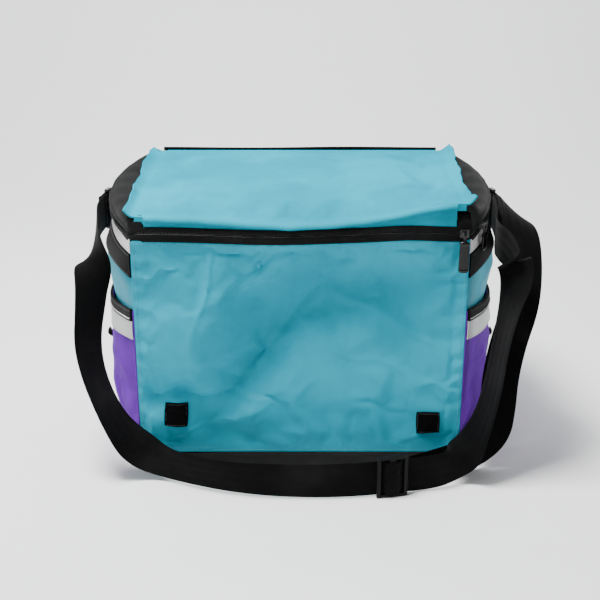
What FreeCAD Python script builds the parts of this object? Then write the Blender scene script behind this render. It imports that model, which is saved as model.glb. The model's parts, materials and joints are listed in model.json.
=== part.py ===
import FreeCAD, Part
import math
import os

# Soft insulated lunch cooler with a zipped padded lid, two side pockets and a clip-on shoulder strap.
# Millimetres. X runs to the wearer's right, the front faces -Y, Z is up.
# The origin lies on the floor, under the middle of the bag.

V = FreeCAD.Vector
Z_AXIS = V(0, 0, 1)

# ---- driving dimensions ----
HALF_W = 170.0        # centre to the front and back corner seams
HALF_D = 138.0        # centre to the front and back panels
BASE_H = 17.0         # height of the stiff black base tray
SKIN = 1.2            # coated outer fabric
FOAM = 8.0            # closed-cell foam in the walls
LINER = 1.0           # welded inner liner
RING_H = 257.0        # underside of the zipper at the front panel
RING_RISE = 24.0      # how much higher the zipper lies at the back panel
# how far each side panel bulges past its corner seams, as (height, bulge)
TOP_BULGE = 36.0
BULGE = [(BASE_H, 20.0), (60, 32.0), (110, 35.0), (165, 37.0), (205, 44.0), (226, 43.0), (243, 37.5)]
BULGE += [(252, TOP_BULGE), (330, TOP_BULGE)]

TAPE_W = 4.0          # fabric of each zipper tape, beside its coil
COIL = 1.2            # half of the coil's height
COIL_GAP = 1.4        # between the two coil halves, where the sliders' webs run
LID_FRONT_Z = 284.0   # top of the lid over the front panel
LID_RISE = 10.5       # how much higher it lies at the back
LID_HALF = 176.0      # half the width of the lid's top panel
PIN_R = 0.8           # radius of a slider's pull pin
PIN_OUT = 7.4         # how far it lies outward from the coil
PULL_T = 3.6          # thickness of the moulded pulls
PULL_W = 9.0          # and width
FRONT_PULL = 38.0     # pin to tip
SIDE_PULL = 24.0
FRONT_SLIDER_X = 164.0   # where the front slider is parked
SIDE_SLIDER_Y = -116.0   # and the side one
STRIP_HALF = 158.0    # half the length of the strip between the lid's top and its zipper
FLANGE_H = 10.0       # seam allowance that stands up along each end of the lid
FLANGE_Y = (-126.0, 120.0)   # where it starts and ends
HINGE_Y = 138.5       # the lid folds about its back binding
HINGE_Z = 291.0
PIPING_R = 2.4        # half the binding's thickness
PIPING_HALF = 160.0   # half its length
ZIP_BACK = 125.0      # where both ends of the zipper stop
RUNNING_FIT = 0.05    # radial play round every pin

TOP_TAPE = (241.0, 257.0)     # light reflective tape, as heights over the front panel
BAND = (215.5, 240.5)         # black webbing band, as heights over the front panel
POCKET_FRONT_Z = 181.0        # pocket's top edge at its seams
POCKET_MID_Z = 166.0          # and where it sags between them
POCKET_BINDING = 12.5
POCKET_TAPE = 20.0
POCKET_SLACK = [(BASE_H, 0.0), (60, 8.0), (110, 12.5), (165, 14.5), (205, 14.5)]
TAB_Z = 100.0                 # ribbon loop on the middle of each pocket
SQUARE = 25.0                 # hook-and-loop squares on the front
SQUARE_T = 1.6
SQUARES = (("left", -131.0, 64.0), ("right", 136.0, 54.0))   # their centres

WEBBING = 38.0                # shoulder strap width
STRAP_T = 1.5                 # and thickness
SLOT_W = WEBBING / 2 + 1.2    # half the length of a slot that the webbing passes through
GLIDE_SPOT = (94.0, -199.4)   # where the three-bar adjuster stands, on its edge
GLIDE_WAY = (42.0, 8.5)       # and the way it lies along the strap

RING_BAR = (205.5, 80.0, 243.0)   # bar of the right D-ring, which the left one mirrors
RING_OUT = 42.0                   # degrees that the D-ring stands out from the panel
CLIP_OUT = 12.0                   # degrees that the hook points outward as it lies forward
RING_R = 14.0                     # radius of the D's bow
RING_ROD = 2.0                    # radius of its rod

SLOPE = RING_RISE / (2 * HALF_D)
LID_SLOPE = LID_RISE / (2 * HALF_D)
TILT = math.atan(SLOPE)
FAR = 400.0   # beyond every part of the bag, for the blocks that trim its layers

os.makedirs("parts", exist_ok=True)


def save(name, *solids):
    """Write one node, made of one or more separate solids."""
    found = [s for shape in solids for s in shape.Solids]
    shape = found[0] if len(found) == 1 else Part.makeCompound(found)
    shape.exportStep("parts/%s.step" % name)
    print("%-24s %d solid(s) %9.1f mm3 valid %s" % (name, len(found), shape.Volume, shape.isValid()))


def along(table, x):
    """The value at x of a table of (x, value) points."""
    for (x0, y0), (x1, y1) in zip(table, table[1:]):
        if x <= x1:
            return y0 + (y1 - y0) * max(x - x0, 0) / (x1 - x0)
    return table[-1][1]


def box(x0, x1, y0, y1, z0, z1):
    return Part.makeBox(x1 - x0, y1 - y0, z1 - z0, V(x0, y0, z0))


def mirrored(shape):
    return shape.mirror(V(0, 0, 0), V(1, 0, 0))


def cylinder(start, end, radius):
    way = end - start
    return Part.makeCylinder(radius, way.Length, start, way)


def fused(*shapes):
    out = shapes[0]
    for shape in shapes[1:]:
        out = out.fuse(shape)
    return out.removeSplitter()


# ---- walls: every layer of a side is the same bulged surface, shifted inward ----
LEVELS = [z for z, _ in BULGE]


def side_arc(z, inset, slack):
    """The right side's outline at one height, from its front seam to its back seam."""
    end = HALF_W - inset
    y = HALF_D - SKIN
    middle = end + along(BULGE, z) + slack
    return Part.Arc(V(end, -y, z), V(middle, 0, z), V(end, y, z)).toShape()


def side_layer(outer, inner, slack_table=None):
    """A curved layer of the right side, between two insets, over the walls' whole height."""
    levels = LEVELS if slack_table is None else [z for z, _ in slack_table]
    sections = []
    for z in levels:
        slack = along(slack_table, z) if slack_table else 0.0
        a = side_arc(z, outer, slack)
        b = side_arc(z, inner, slack)
        ends = [(a.Vertexes[0].Point, b.Vertexes[0].Point), (a.Vertexes[-1].Point, b.Vertexes[-1].Point)]
        lines = [Part.makeLine(*pair) for pair in ends]
        sections.append(Part.Wire(Part.__sortEdges__([a, lines[1], b, lines[0]])))
    return Part.makeLoft(sections, True, True)


def between(low, high, slope=SLOPE):
    """The slab between two planes that rise to the back, given by their heights over the front."""
    x = FAR
    y = HALF_D + 60.0
    rise = [low + slope * (HALF_D - y), low + slope * (HALF_D + y)]
    rise += [high + slope * (HALF_D + y), high + slope * (HALF_D - y)]
    corners = [V(-x, -y, rise[0]), V(-x, y, rise[1]), V(-x, y, rise[2]), V(-x, -y, rise[3])]
    return Part.Face(Part.makePolygon(corners + corners[:1])).extrude(V(2 * x, 0, 0))


def pocket_slab(top_drop, bottom_drop):
    """The slab between two sagging edges, given by how far they lie below the pocket's top."""
    y = HALF_D - SKIN
    top = [POCKET_FRONT_Z - top_drop, POCKET_MID_Z - top_drop]
    low = [POCKET_FRONT_Z - bottom_drop, POCKET_MID_Z - bottom_drop]
    upper = Part.Arc(V(0, -y, top[0]), V(0, 0, top[1]), V(0, y, top[0])).toShape()
    if low[1] > BASE_H:
        lower = Part.Arc(V(0, -y, low[0]), V(0, 0, low[1]), V(0, y, low[0])).toShape()
    else:
        low = [BASE_H, BASE_H]
        lower = Part.makeLine(V(0, -y, BASE_H), V(0, y, BASE_H))
    ends = [Part.makeLine(V(0, side, top[0]), V(0, side, low[0])) for side in (-y, y)]
    outline = Part.Wire(Part.__sortEdges__([upper, ends[1], lower, ends[0]]))
    return Part.Face(outline).extrude(V(FAR, 0, 0))


def ring_outline(z, inset):
    """A closed outline of the bag near its zipper, where the bulge no longer changes."""
    x = HALF_W - inset
    y = HALF_D - inset
    right = Part.Arc(V(x, -y, z), V(x + TOP_BULGE, 0, z), V(x, y, z)).toShape()
    left = Part.Arc(V(-x, y, z), V(-x - TOP_BULGE, 0, z), V(-x, -y, z)).toShape()
    front = Part.makeLine(V(-x, -y, z), V(x, -y, z))
    back = Part.makeLine(V(x, y, z), V(-x, y, z))
    return Part.Wire(Part.__sortEdges__([front, right, back, left]))


def ring_solid(inset):
    """All that lies inside the bag's outline near its zipper, from below the zipper to over the lid."""
    low = RING_H - 7
    return Part.Face(ring_outline(low, inset)).extrude(V(0, 0, FAR - low))


def save_pair(name, right_shape):
    save("right_" + name, right_shape)
    save("left_" + name, mirrored(right_shape))


def skins():
    top = between(0, RING_H)
    y = HALF_D - SKIN
    save_pair("side_panel", side_layer(0, SKIN).common(top))
    save("front_panel", box(-HALF_W, HALF_W, -HALF_D, -y, BASE_H, RING_H))
    save("back_panel", box(-HALF_W, HALF_W, y, HALF_D, BASE_H, FAR).common(top))


def foam_walls():
    top = between(0, RING_H - 1)
    y = HALF_D - SKIN
    x = HALF_W - SKIN - FOAM
    save_pair("foam", side_layer(SKIN, SKIN + FOAM).common(top))
    save("front_foam", box(-x, x, -y, -y + FOAM, BASE_H, RING_H - 1))
    save("back_foam", box(-x, x, y - FOAM, y, BASE_H, FAR).common(top))


def liner_block(inset):
    """The room inside the foam, as a solid, its walls moved inward."""
    y = HALF_D - SKIN - FOAM - inset
    side = SKIN + FOAM + inset
    sections = []
    for z in LEVELS:
        right = side_arc(z, side, 0)
        left = mirrored(right)
        r = [right.Vertexes[0].Point, right.Vertexes[-1].Point]
        l = [left.Vertexes[0].Point, left.Vertexes[-1].Point]
        near = min(l, key=lambda p: p.y)
        far = max(l, key=lambda p: p.y)
        r.sort(key=lambda p: p.y)
        edges = [right, Part.makeLine(r[1], far), left, Part.makeLine(near, r[0])]
        sections.append(Part.Wire(Part.__sortEdges__(edges)))
    whole = Part.makeLoft(sections, True, True)
    return whole.common(box(-FAR, FAR, -y, y, BASE_H + inset, FAR))


def liner():
    tub = liner_block(0).cut(liner_block(LINER))
    save("liner_tub", tub.common(between(0, RING_H - 2)))


def base_outline(inset):
    """Plan of the base tray, with its corners rounded off."""
    x0, x1, x2 = 148.0, 181.0, 190.0
    y0, y1 = HALF_D, 113.0
    quarter = Part.Arc(V(x0, -y0, 0), V(171.5, -131.0, 0), V(x1, -y1, 0)).toShape()
    flank = Part.Arc(V(x1, -y1, 0), V(x2, 0, 0), V(x1, y1, 0)).toShape()
    back_quarter = quarter.mirror(V(0, 0, 0), V(0, 1, 0))
    right = [quarter, flank, back_quarter]
    lines = [Part.makeLine(V(-x0, y, 0), V(x0, y, 0)) for y in (-y0, y0)]
    wire = Part.Wire(Part.__sortEdges__(right + [mirrored(e) for e in right] + lines))
    face = Part.Face(wire)
    return face if inset == 0 else face.makeOffset2D(-inset)


def base():
    wall = 1.5
    board = 3.0
    tray = base_outline(0).extrude(V(0, 0, BASE_H))
    room = base_outline(wall).extrude(V(0, 0, BASE_H))
    room.translate(V(0, 0, wall))
    save("base_panel", tray.cut(room))
    stiffener = base_outline(wall).extrude(V(0, 0, board))
    stiffener.translate(V(0, 0, wall))
    save("base_board", stiffener)
    foam = base_outline(wall).extrude(V(0, 0, BASE_H - wall - board))
    foam.translate(V(0, 0, wall + board))
    save("base_foam", foam)


def side_trim():
    save_pair("reflective_tape", side_layer(-0.8, 0).common(between(*TOP_TAPE)))
    save_pair("webbing_band", side_layer(-1.5, 0).common(between(*BAND)))


def pockets():
    fabric = side_layer(-SKIN, 0, POCKET_SLACK)
    save_pair("pocket", fabric.common(pocket_slab(0, FAR)))
    binding = side_layer(-2 * SKIN, -SKIN, POCKET_SLACK)
    save_pair("pocket_binding", binding.common(pocket_slab(0, POCKET_BINDING)))
    tape = side_layer(-SKIN - 0.8, -SKIN, POCKET_SLACK)
    low = POCKET_BINDING + POCKET_TAPE
    save_pair("pocket_tape", tape.common(pocket_slab(POCKET_BINDING, low)))
    # a folded loop of ribbon sewn to the middle of each pocket
    face = HALF_W + SKIN + along(BULGE, TAB_Z) + along(POCKET_SLACK, TAB_Z)
    foot = box(face - 0.5, face + 8, -5, 5, TAB_Z, TAB_Z + SKIN)
    upright = box(face + 8 - SKIN, face + 8, -5, 5, TAB_Z, TAB_Z + 9)
    tab = fused(foot, upright).cut(side_layer(-SKIN, 0, POCKET_SLACK))
    save_pair("pocket_tab", max(tab.Solids, key=lambda s: s.Volume))


def front_squares():
    half = SQUARE / 2
    for side, x, z in SQUARES:
        patch = box(x - half, x + half, -HALF_D - SQUARE_T, -HALF_D, z - half, z + half)
        save(side + "_fastener_square", patch)


def zipper():
    """Both tapes and both halves of the coil, round the front and the two sides."""
    open_back = box(-FAR, FAR, -FAR, ZIP_BACK, 0, FAR)
    tape = ring_solid(0).cut(ring_solid(SKIN)).common(open_back)
    coil = ring_solid(-0.8).cut(ring_solid(SKIN + 0.8)).common(open_back)
    h = RING_H
    save("lower_zipper_tape", tape.common(between(h, h + TAPE_W)))
    h += TAPE_W
    save("lower_zipper_coil", coil.common(between(h, h + COIL)))
    h += COIL + COIL_GAP
    save("upper_zipper_coil", coil.common(between(h, h + COIL)))
    h += COIL
    save("upper_zipper_tape", tape.common(between(h, h + TAPE_W)))
    return h + TAPE_W


def lid(boxing_low):
    edge = HINGE_Y - 3.2
    under = between(0, LID_FRONT_Z, LID_SLOPE)
    inside = ring_solid(SKIN).common(box(-FAR, FAR, -FAR, edge, 0, FAR))
    wall = ring_solid(0).cut(ring_solid(SKIN)).common(box(-FAR, FAR, -FAR, edge, 0, FAR))
    boxing = wall.common(under).common(between(boxing_low, FAR))
    front = boxing.common(box(-STRIP_HALF, STRIP_HALF, -FAR, -HALF_D + SKIN, 0, FAR))
    save("lid_front_strip", front)
    # the gussets: the ends of the lid between its top panel and the zipper
    skin = inside.common(between(LID_FRONT_Z - SKIN, LID_FRONT_Z, LID_SLOPE))
    flat = skin.common(box(LID_HALF + SKIN, FAR, -FAR, FAR, 0, FAR))
    upright = boxing.common(box(STRIP_HALF, FAR, -FAR, FAR, 0, FAR))
    gusset = max(fused(flat, upright).Solids, key=lambda s: s.Volume)
    save("lid_right_gusset", gusset)
    save("lid_left_gusset", mirrored(gusset))
    top = skin.common(box(-LID_HALF - SKIN, LID_HALF + SKIN, -FAR, FAR, 0, FAR))
    flange = box(LID_HALF, LID_HALF + SKIN, FLANGE_Y[0], FLANGE_Y[1], 0, FAR)
    flange = flange.common(between(LID_FRONT_Z, LID_FRONT_Z + FLANGE_H, LID_SLOPE))
    save("lid_panel", fused(top, flange, mirrored(flange)))
    foam_top = LID_FRONT_Z - SKIN
    room = ring_solid(SKIN + 2).common(box(-FAR, FAR, -FAR, edge - 2, 0, FAR))
    save("lid_foam", room.common(between(foam_top - 6, foam_top, LID_SLOPE)))
    save("lid_liner", room.common(between(foam_top - 7, foam_top - 6, LID_SLOPE)))
    x = PIPING_HALF
    piping = cylinder(V(-x, HINGE_Y, HINGE_Z), V(x, HINGE_Y, HINGE_Z), PIPING_R)
    web = box(-x, x, HALF_D - SKIN, HALF_D, RING_H + RING_RISE, HINGE_Z)
    save("back_binding", fused(piping, web))


def slider(place):
    """A zipper slider over the coil, its bridge outward, at a placement on the ring."""
    half = 4.5
    outer = box(-half, half, -3.4, -2.2, -4, 4)
    inner = box(-half, half, 2.6, 3.8, -4, 4)
    web = box(-half, half, -3.4, 3.8, -0.45, 0.45)
    lugs = [box(x, x + 1.4, -PIN_OUT - 1.4, -3.4, -2.5, 2.5) for x in (-3.0, 1.6)]
    pin = cylinder(V(-3.0, -PIN_OUT, 0), V(3.0, -PIN_OUT, 0), PIN_R)
    shape = fused(outer, inner, web, pin, *lugs)
    shape.Placement = place
    return shape


def pull(place, length):
    """A moulded pull on the slider's pin, hanging down: an eye, a neck and a long grip."""
    middle = V(0, -PIN_OUT, 0)
    eye = cylinder(middle - V(1.3, 0, 0), middle + V(1.3, 0, 0), 1.8)
    neck = box(-1.3, 1.3, -PIN_OUT - 0.9, -PIN_OUT + 0.9, -12, -1.2)
    half = PULL_T / 2
    end = V(0, -PIN_OUT, -length)
    grip = box(-PULL_W / 2, PULL_W / 2, -PIN_OUT - half, -PIN_OUT + half, -length, -10)
    tip = cylinder(end - V(PULL_W / 2, 0, 0), end + V(PULL_W / 2, 0, 0), half)
    hole = cylinder(middle - V(5, 0, 0), middle + V(5, 0, 0), PIN_R + RUNNING_FIT)
    shape = fused(eye, neck, grip, tip).cut(hole)
    shape.Placement = place
    return shape


def sliders():
    height = RING_H + TAPE_W + COIL + COIL_GAP / 2
    front = FreeCAD.Placement(V(FRONT_SLIDER_X, -HALF_D + SKIN / 2, height), FreeCAD.Rotation())
    save("front_slider", slider(front))
    save("front_pull", pull(front, FRONT_PULL))
    # the side slider runs on the side's arc: a turn about an axis square to the zipper's plane
    radius = (HALF_D ** 2 + TOP_BULGE ** 2) / (2 * TOP_BULGE)
    centre = V(HALF_W + TOP_BULGE - radius, 0, height + SLOPE * HALF_D)
    axis = V(0, -math.sin(TILT), math.cos(TILT))
    start = math.degrees(math.asin(SIDE_SLIDER_Y / radius))
    spot = FreeCAD.Placement(V(radius - SKIN / 2, 0, 0), FreeCAD.Rotation(Z_AXIS, 90))
    turn = FreeCAD.Placement(V(0, 0, 0), FreeCAD.Rotation(Z_AXIS, start))
    tip = FreeCAD.Placement(centre, FreeCAD.Rotation(Z_AXIS, axis))
    place = tip.multiply(turn).multiply(spot)
    save("side_slider", slider(place))
    save("side_pull", pull(place, SIDE_PULL))
    print("side slider: axis point", centre, "axis", axis, "radius", radius, "start", start)
    print("side slider origin", place.Base, "pin axis", place.Rotation.multVec(V(1, 0, 0)))
    pin = V(0, -PIN_OUT, 0)
    print("side pull pin", place.multVec(pin), "front pull pin", front.multVec(pin))


def stops():
    """Sewn end stops, which close each end of the zipper at the back."""
    height = RING_H + TAPE_W - 1.5
    one = ring_solid(-0.4).cut(ring_solid(SKIN + 0.4)).common(between(height, height + 2.6))
    one = one.common(box(0, FAR, ZIP_BACK + 0.2, ZIP_BACK + 5, 0, FAR))
    save("zipper_end_stops", one, mirrored(one))


# ---- clips: local X runs along the hook, local Z is the D-ring's bar, local Y is outward ----
def clip_parts():
    bar = V(*RING_BAR)
    ring_turn = FreeCAD.Rotation(Z_AXIS, -90 + RING_OUT)
    hook_turn = FreeCAD.Rotation(Z_AXIS, -90 + CLIP_OUT)
    apex = bar + ring_turn.multVec(V(RING_R, 0, 0))
    ring_place = FreeCAD.Placement(bar, ring_turn)
    hook_place = FreeCAD.Placement(apex, hook_turn)

    bow = Part.makeTorus(RING_R, RING_ROD, V(0, 0, 0), V(0, 1, 0)).common(box(0, 40, -5, 5, -40, 40))
    rod = cylinder(V(0, 0, -RING_R - RING_ROD), V(0, 0, RING_R + RING_ROD), RING_ROD)
    d_ring = fused(bow, rod)
    d_ring.Placement = ring_place
    save_pair("d_ring", d_ring)

    # webbing loop that holds the bar against the side band
    loop_out = RING_ROD + 1.5
    tab_h = 11.4
    loop = cylinder(V(0, 0, -tab_h), V(0, 0, tab_h), loop_out)
    tail = box(-loop_out, -loop_out + 1.6, -24, 0, -tab_h, tab_h)
    shape = fused(loop, tail).cut(cylinder(V(0, 0, -tab_h), V(0, 0, tab_h), RING_ROD + RUNNING_FIT))
    mount = FreeCAD.Placement(bar, FreeCAD.Rotation(Z_AXIS, 163))
    shape.Placement = mount
    shape = shape.cut(side_layer(-1.5, 12))
    save_pair("ring_tab", max(shape.Solids, key=lambda s: s.Volume))

    # snap hook, lying in a level plane round the D's bow
    hole = 5.0
    rim = 8.2
    half = 3.0
    centre = V(2.4, 0, 0)
    disc = cylinder(centre - V(0, 0, half), centre + V(0, 0, half), rim)
    eye = cylinder(centre - V(0, 0, half + 1), centre + V(0, 0, half + 1), hole)
    shank = cylinder(V(9.0, 0, 0), V(23.0, 0, 0), 4.6)
    mouth = box(2.5, 12.0, hole - 1.4, rim + 3, -half - 3, half + 3)
    hinge = V(13.6, 5.6, 0)
    pivot = cylinder(hinge - V(0, 0, half), hinge + V(0, 0, half), 1.0)
    heel = box(11.0, 16.0, 2.5, 7.6, -half, half)
    groove = box(3.0, 12.5, 2.0, 9.0, -1.7, 1.7)
    slot = box(12.0, 17.0, 3.4, 9.0, -1.7, 1.7)
    body = fused(disc.cut(eye), shank, heel).cut(mouth).cut(groove).cut(slot)
    body = fused(body.cut(eye), pivot)
    bore = 2.6
    body = body.cut(cylinder(V(15.0, 0, 0), V(24.0, 0, 0), bore))
    body.Placement = hook_place
    save_pair("snap_hook", max(body.Solids, key=lambda s: s.Volume))

    knuckle = cylinder(hinge - V(0, 0, 1.5), hinge + V(0, 0, 1.5), 1.9)
    gate = fused(box(3.0, hinge.x, 4.6, 6.6, -1.5, 1.5), knuckle)
    gate = gate.cut(cylinder(hinge - V(0, 0, 2), hinge + V(0, 0, 2), 1.0 + RUNNING_FIT))
    gate.Placement = hook_place
    save_pair("hook_gate", gate)

    # swivel eye: a pin in the shank and a slot for the strap
    pin = cylinder(V(15.4, 0, 0), V(24.0, 0, 0), bore - RUNNING_FIT)
    collar = cylinder(V(23.4, 0, 0), V(27.5, 0, 0), 5.0)
    frame = box(27.0, 39.0, -2.2, 2.2, -SLOT_W - 3, SLOT_W + 3)
    window = box(29.6, 35.4, -3, 3, -SLOT_W, SLOT_W)
    eye_body = fused(pin, collar, frame).cut(window)
    eye_body.Placement = hook_place
    save_pair("swivel_eye", eye_body)
    for name, spot in (("apex", V(0, 0, 0)), ("gate pivot", hinge), ("window", V(32.5, 0, 0))):
        print("right clip", name, hook_place.multVec(spot))
    print("hook axis", hook_turn.multVec(V(1, 0, 0)))


# ---- shoulder strap: hand-laid routes as (x, y, z, and the direction of its width) ----
STRAP_LEFT = [
    (-223.3, 30.4, 243.0, 0.0, 0.0, 1.0),
    (-225.0, 8.0, 243.0, 0.0, 0.0, 1.0),
    (-224.0, -22.0, 243.0, 0.0, 0.0, 1.0),
    (-220.0, -52.0, 243.0, 0.1, 0.0, 0.99),
    (-217.0, -84.0, 236.0, 0.25, 0.25, 0.93),
    (-216.0, -108.0, 212.0, 0.45, 0.6, 0.6),
    (-218.0, -124.0, 178.0, 0.58, 0.75, 0.25),
    (-221.0, -134.0, 146.0, 0.55, 0.82, 0.05),
    (-217.0, -140.0, 117.0, 0.45, 0.88, -0.05),
    (-207.0, -147.0, 88.0, 0.42, 0.9, -0.05),
    (-192.0, -153.0, 58.0, 0.35, 0.85, 0.25),
    (-172.0, -159.0, 35.0, 0.15, 0.55, 0.82),
    (-142.0, -168.0, 22.0, 0.05, -0.1, 0.98),
    (-106.0, -184.0, 20.0, 0.0, -0.2, 0.98),
    (-66.0, -197.0, 20.0, 0.0, -0.15, 0.99),
    (-20.0, -203.0, 20.0, 0.0, -0.05, 1.0),
    (28.0, -203.5, 20.0, 0.0, 0.0, 1.0),
    (70.0, -199.5, 20.0, 0.0, 0.0, 1.0),
    (112.0, -191.0, 20.0, 0.0, 0.0, 1.0),
]
STRAP_INNER = [
    (112.3, -190.9, 20.0, 0.0, 0.0, 1.0),
    (140.0, -185.3, 20.0, 0.0, 0.0, 1.0),
    (160.0, -177.0, 24.0, 0.0, 0.0, 1.0),
    (177.0, -168.0, 40.0, -0.35, 0.75, 0.45),
    (191.0, -161.0, 68.0, -0.38, 0.9, -0.15),
    (200.0, -155.0, 104.0, -0.3, 0.94, -0.1),
    (206.0, -150.0, 150.0, -0.25, 0.96, -0.05),
    (213.0, -146.0, 188.0, -0.35, 0.93, 0.0),
    (221.0, -139.0, 220.0, -0.5, 0.6, 0.6),
    (213.0, -128.0, 241.0, -0.2, 0.3, 0.93),
    (203.0, -106.0, 247.0, 0.0, 0.1, 0.99),
    (207.0, -76.0, 245.0, 0.0, 0.0, 1.0),
    (214.0, -45.0, 243.0, 0.0, 0.0, 1.0),
    (219.0, -10.0, 243.0, 0.0, 0.0, 1.0),
    (221.8, 30.6, 243.0, 0.0, 0.0, 1.0),
]
STRAP_OUTER = [
    (112.0, -186.5, 20.0, 0.0, 0.0, 1.0),
    (140.0, -171.0, 20.0, 0.0, 0.0, 1.0),
    (170.0, -152.0, 20.0, 0.0, 0.0, 1.0),
    (192.0, -141.0, 22.0, -0.05, 0.0, 1.0),
    (207.0, -135.0, 40.0, -0.35, 0.2, 0.9),
    (211.0, -131.0, 70.0, -0.7, 0.3, 0.6),
    (212.0, -128.0, 102.0, -0.9, 0.3, 0.3),
    (219.0, -123.0, 140.0, -0.95, 0.28, 0.2),
    (231.0, -118.0, 180.0, -0.93, 0.25, 0.3),
    (234.0, -104.0, 218.0, -0.9, 0.2, 0.3),
    (233.0, -84.0, 250.0, -0.85, 0.1, 0.3),
    (231.0, -54.0, 264.0, -0.8, 0.0, 0.55),
    (229.5, -28.0, 257.0, -0.45, 0.0, 0.88),
    (227.5, -1.0, 243.5, -0.1, 0.0, 0.99),
    (225.2, 29.5, 243.0, 0.0, 0.0, 1.0),
]


def spline(poles):
    """A smooth line with the route's points as its control points."""
    degree = 2
    spans = len(poles) - degree
    ends = [degree + 1] + [1] * (spans - 1) + [degree + 1]
    curve = Part.BSplineCurve()
    curve.buildFromPolesMultsKnots(poles, ends, list(range(spans + 1)), False, degree)
    return curve, spans


def ribbon(name, route):
    """Flat webbing along a route, made of flat faces. Also prints its length and its tightest bend."""
    line, spans = spline([V(*p[:3]) for p in route])
    widths = spline([V(*p[3:]) for p in route])[0]
    steps = spans * 4
    rows = []
    for n in range(steps + 1):
        t = spans * n / steps
        along_line = line.tangent(t)[0]
        across = widths.value(t)
        across = (across - along_line * across.dot(along_line)).normalize() * (WEBBING / 2)
        thick = along_line.cross(across).normalize() * (STRAP_T / 2)
        spot = line.value(t)
        near = [spot - across - thick, spot + across - thick]
        rows.append(near + [spot + across + thick, spot - across + thick])
    faces = [rows[0], rows[-1][::-1]]
    for a, b in zip(rows, rows[1:]):
        for i in range(4):
            j = (i + 1) % 4
            faces.append([a[i], a[j], b[j]])
            faces.append([a[i], b[j], b[i]])
    shell = Part.makeShell([Part.Face(Part.makePolygon(f + f[:1])) for f in faces])
    solid = Part.makeSolid(shell)
    if solid.Volume < 0:
        solid.reverse()
    bends = [1 / max(line.curvature(spans * n / 200), 1e-6) for n in range(201)]
    lowest = min(p.z for row in rows for p in row)
    report = (name, line.length(), min(bends), lowest)
    print("%s: length %.0f, tightest bend %.0f, lowest point %.2f" % report)
    save(name, solid)


def tri_glide():
    """Three-bar adjuster that the strap passes through."""
    frame = box(-16, 16, -2, 2, -SLOT_W - 3, SLOT_W + 3)
    slots = [box(x, x + 9, -3, 3, -SLOT_W, SLOT_W) for x in (-12.5, 3.5)]
    shape = frame.cut(slots[0]).cut(slots[1])
    turn = FreeCAD.Rotation(V(1, 0, 0), V(*GLIDE_WAY, 0).normalize())
    shape.Placement = FreeCAD.Placement(V(*GLIDE_SPOT, SLOT_W + 3.2), turn)
    save("tri_glide", shape)


def main():
    skins()
    foam_walls()
    liner()
    base()
    side_trim()
    pockets()
    front_squares()
    lid(zipper())
    sliders()
    stops()
    clip_parts()
    ribbon("shoulder_strap", STRAP_LEFT)
    ribbon("strap_inner_run", STRAP_INNER)
    ribbon("strap_outer_run", STRAP_OUTER)
    tri_glide()


main()
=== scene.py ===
import json
import math
import random

import bmesh
import bpy
import numpy as np
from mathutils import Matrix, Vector


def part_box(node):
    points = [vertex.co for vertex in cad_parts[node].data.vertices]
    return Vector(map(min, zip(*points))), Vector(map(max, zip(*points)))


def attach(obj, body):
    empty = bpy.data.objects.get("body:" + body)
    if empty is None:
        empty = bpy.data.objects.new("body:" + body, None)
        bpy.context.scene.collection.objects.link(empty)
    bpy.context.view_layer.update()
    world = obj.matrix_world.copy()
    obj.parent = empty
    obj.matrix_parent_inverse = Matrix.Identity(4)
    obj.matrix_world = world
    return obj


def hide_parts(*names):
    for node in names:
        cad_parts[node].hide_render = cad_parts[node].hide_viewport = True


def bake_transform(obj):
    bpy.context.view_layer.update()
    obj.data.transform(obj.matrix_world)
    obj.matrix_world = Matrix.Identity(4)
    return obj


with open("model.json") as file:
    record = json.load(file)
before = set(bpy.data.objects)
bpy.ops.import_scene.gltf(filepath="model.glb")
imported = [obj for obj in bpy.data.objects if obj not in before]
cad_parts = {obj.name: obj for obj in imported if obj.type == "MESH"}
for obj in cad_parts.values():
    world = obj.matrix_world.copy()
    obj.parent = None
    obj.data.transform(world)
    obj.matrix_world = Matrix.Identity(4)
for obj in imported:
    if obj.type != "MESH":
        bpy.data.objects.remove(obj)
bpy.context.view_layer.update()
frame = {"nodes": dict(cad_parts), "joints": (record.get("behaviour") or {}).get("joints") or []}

MM = 0.001
scene = bpy.context.scene

# ---------------------------------------------------------------- camera
camera_data = bpy.data.cameras.new("camera")
camera_data.lens = 63.0
camera_data.sensor_width = 36.0
camera = bpy.data.objects.new("camera", camera_data)
camera.location = (0.0, -1.1471, 0.5535)
camera.rotation_euler = (math.radians(70.3), 0.0, 0.0)
scene.collection.objects.link(camera)
scene.camera = camera

# ---------------------------------------------------------------- sizes shared with the CAD (mm)
HALF_W, HALF_D, BASE_H = 170.0, 138.0, 17.0
RING_H, RING_RISE = 257.0, 24.0
SLOPE = RING_RISE / (2 * HALF_D)
LID_Z, LID_RISE, LID_HALF = 284.0, 10.5, 176.0
LID_SLOPE = LID_RISE / (2 * HALF_D)
BULGE = [(17, 20), (60, 32), (110, 35), (165, 37), (205, 44), (226, 43), (243, 37.5), (252, 36), (330, 36)]
SLACK = [(17, 0), (60, 7), (110, 9.0), (150, 4.5), (170, 1.6),
        (205, 1.2)]   # the pocket's mouth lies nearly flat at rest
WEBBING, STRAP_T = 38.0, 1.5


# ---------------------------------------------------------------- mesh helpers
def link(obj):
    scene.collection.objects.link(obj)
    return obj


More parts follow.
